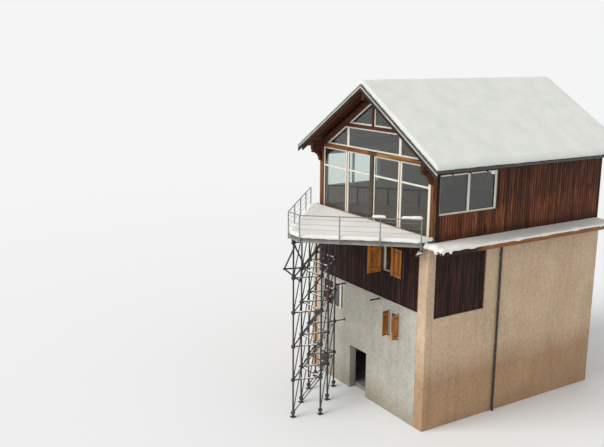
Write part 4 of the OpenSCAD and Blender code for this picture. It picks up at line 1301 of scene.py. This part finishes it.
# Heaps on the ledges: the middle and the half sizes of each, on the right side; the
# left side has the same.
heaps = [
    ((4.50, -5.10, 8.13), (0.30, 0.30, 0.13)), ((4.37, -5.36, 8.17), (0.07, 0.22, 0.12)),
    ((4.74, -5.19, 8.05), (0.09, 0.11, 0.19)), ((4.97, -5.06, 8.05), (0.11, 0.13, 0.15)),
    ((4.99, -5.13, 7.96), (0.085, 0.08, 0.13)), ((5.00, -4.72, 7.98), (0.085, 0.10, 0.12)),
    ((4.96, -4.30, 8.07), (0.12, 0.30, 0.12)), ((4.97, -3.55, 8.05), (0.11, 0.34, 0.11)),
    ((4.96, -2.40, 8.06), (0.12, 0.50, 0.10)), ((4.97, -0.90, 8.05), (0.11, 0.40, 0.11)),
    ((4.97, 0.70, 8.05), (0.11, 0.55, 0.10)), ((4.96, 2.70, 8.06), (0.12, 0.45, 0.11)),
    ((4.97, 4.40, 8.05), (0.11, 0.40, 0.10)),
]
lumps = [clean_copy("low_snow", "banks")]
for side in (-1, 1):
    for (x, y, z), reach in heaps:
        heap = ball(16, 10)
        heap.data.transform(Matrix.Translation((side * x, y, z)) @ Matrix.Diagonal((*reach, 1)))
        lumps.append(heap)
banks = join_pieces("ledge_and_terrace_snow", lumps)
soften_snow(banks, bank_cell, bank_rounds, bank_sink)
for v in banks.data.vertices:
    near = (v.co.y - (glaze_y - melt_width)) / melt_width
    if abs(v.co.x) < melt_x and 0 < near and v.co.z > deck_z + melt_from:
        v.co.z -= melt_depth * min(near, 1.0) ** 2
wavy_hem(
    banks, *bank_hem,
    lambda spot: spot.y < glaze_y - melt_width and spot.z < deck_z + deck_strip, low_limit,
)
dress(banks, low_snow, stands_for=("low_snow",), smooth=60)

# Snow that has stayed on the handrail: three soft lumps on its right-hand run, each from
# one share of that run's length to another.
rail_start, rail_end = rail_line[2], rail_line[3]
rail_snow_z = deck_z + 1.015
rail_snow_w = 0.15
rail_snow_foot = -0.35
rail_snow_wave = (9.0, 0.022)
rail_lumps = [(0.597, 0.711, 0.085), (0.835, 0.925, 0.075), (0.90, 1.01, 0.095)]
lumps = []
for start, end, thick in rail_lumps:
    lump = ball(16, 10)
    a, b = rail_start.lerp(rail_end, start), rail_start.lerp(rail_end, end)
    for v in lump.data.vertices:
        v.co.z = max(v.co.z, rail_snow_foot)
    lump.data.transform(
        Matrix.Translation((a + b) / 2 + Vector((0, 0, rail_snow_z)))
        @ along_level(b - a)
        @ Matrix.Diagonal(((b - a).length / 2, rail_snow_w / 2, thick, 1))
    )
    normals = [v.normal.copy() for v in lump.data.vertices]
    for v, normal in zip(lump.data.vertices, normals):
        v.co += normal * rail_snow_wave[1] * noise.noise(v.co * rail_snow_wave[0])
    lumps.append(lump)
dress(join_pieces("handrail_snow", lumps), low_snow, smooth=80)

# Wind-packed snow that has stuck on the narrow ledge between the dark boards and the grey wall; its grey is
# painted shade.
frost_h = 0.050
frost_edge = 0.016
frost_gap = 0.005
frost_front_in = 0.004
frost_rear_in = 0.002
grey_low, grey_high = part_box("front_wall_low")
frost = spanning_bar(
    (grey_low.x + frost_gap, grey_low.y + frost_front_in, grey_high.z),
    (grey_high.x - frost_gap, clad_front - frost_rear_in, grey_high.z + frost_h),
    frost_edge,
)
frost.name = "ledge_frost"
dress(frost, shaded_snow)

# Floodlight: a white enamelled shade on a bracket of square bar under the corner of the edge channel; its
# inside is painted black, which stands for shade.
lamp_at = Vector((4.08, -5.50, 7.83))
lamp_way = Vector((0.45, -0.15, -0.88)).normalized()
shade_r = 0.17
shade_neck_r = 0.055
shade_l = 0.17
shade_lip = 0.012
shade_depth = 0.13
shade_taper = 0.42
shade_edge = 0.004
inside_r = 0.150
inside_top = 0.06
bracket_x = (4.245, 4.275)
bracket_y = (-5.515, -5.485)
bracket_z = (7.90, 8.11)
bracket_tip = 4.03
bracket_bar = 0.025
bpy.ops.mesh.primitive_cone_add(
    vertices=32, radius1=shade_r, radius2=shade_neck_r, depth=shade_l, location=(0, 0, 0)
)
shade = bpy.context.object
pick(shade, "FACE", lambda face: face.normal.z < -0.9)
bpy.ops.mesh.inset(thickness=shade_lip)
bpy.ops.mesh.extrude_region_move(TRANSFORM_OT_translate={"value": (0, 0, shade_depth)})
bpy.ops.transform.resize(value=(shade_taper, shade_taper, 1), center_override=(0, 0, 0))
bpy.ops.object.mode_set(mode="OBJECT")
round_arrises(shade, shade_edge)
inside = [
    face.index for face in shade.data.polygons
    if face.center.xy.length < inside_r and face.normal.z < 0.2 and face.center.z < inside_top
]
shade.data.transform(Matrix.Translation(lamp_at) @ aimed(-lamp_way))
shade.name = "floodlight"
enamel = frame_paint.copy()
enamel.name = "enamel"
dress(shade, enamel)
# Painted shade: the inside of the shade takes the black steel.
shade.data.materials.append(iron)
for index in inside:
    shade.data.polygons[index].material_index = 1
corner_z = bracket_z[0] + bracket_bar
bars = [
    spanning_bar((bracket_x[0], bracket_y[0], bracket_z[0]), (bracket_x[1], bracket_y[1], bracket_z[1])),
    spanning_bar((bracket_tip, bracket_y[0], bracket_z[0]), (bracket_x[1], bracket_y[1], corner_z)),
]
dress(join_pieces("floodlight_bracket", bars), iron)

# Snow on the space frame: broken ridges along the tops of the level tubes, with gaps
# where it has dropped off.
ridge_half_w = 0.026
ridge_half_h = (0.022, 0.040)
ridge_up = 0.030
ridge_share = (0.10, 0.30)
ridge_start = 0.08
ridge_end = 0.85
ridge_last = 0.9
ridge_chance = 0.7
random.seed(29)
ridge = ball(8, 6)
places = []
for a, b in tubes_of("frame_rails"):
    run = b - a
    at = ridge_start
    while at < ridge_end:
        share = random.uniform(*ridge_share)
        if random.random() < ridge_chance:
            middle = a + run * min(at + share / 2, ridge_last) + Vector((0, 0, ridge_up))
            size = (run.length * share / 2, ridge_half_w, random.uniform(*ridge_half_h), 1)
            places.append(Matrix.Translation(middle) @ along_level(run) @ Matrix.Diagonal(size))
        at += share
dress(set_copies("frame_snow", ridge, places), low_snow, smooth=80)
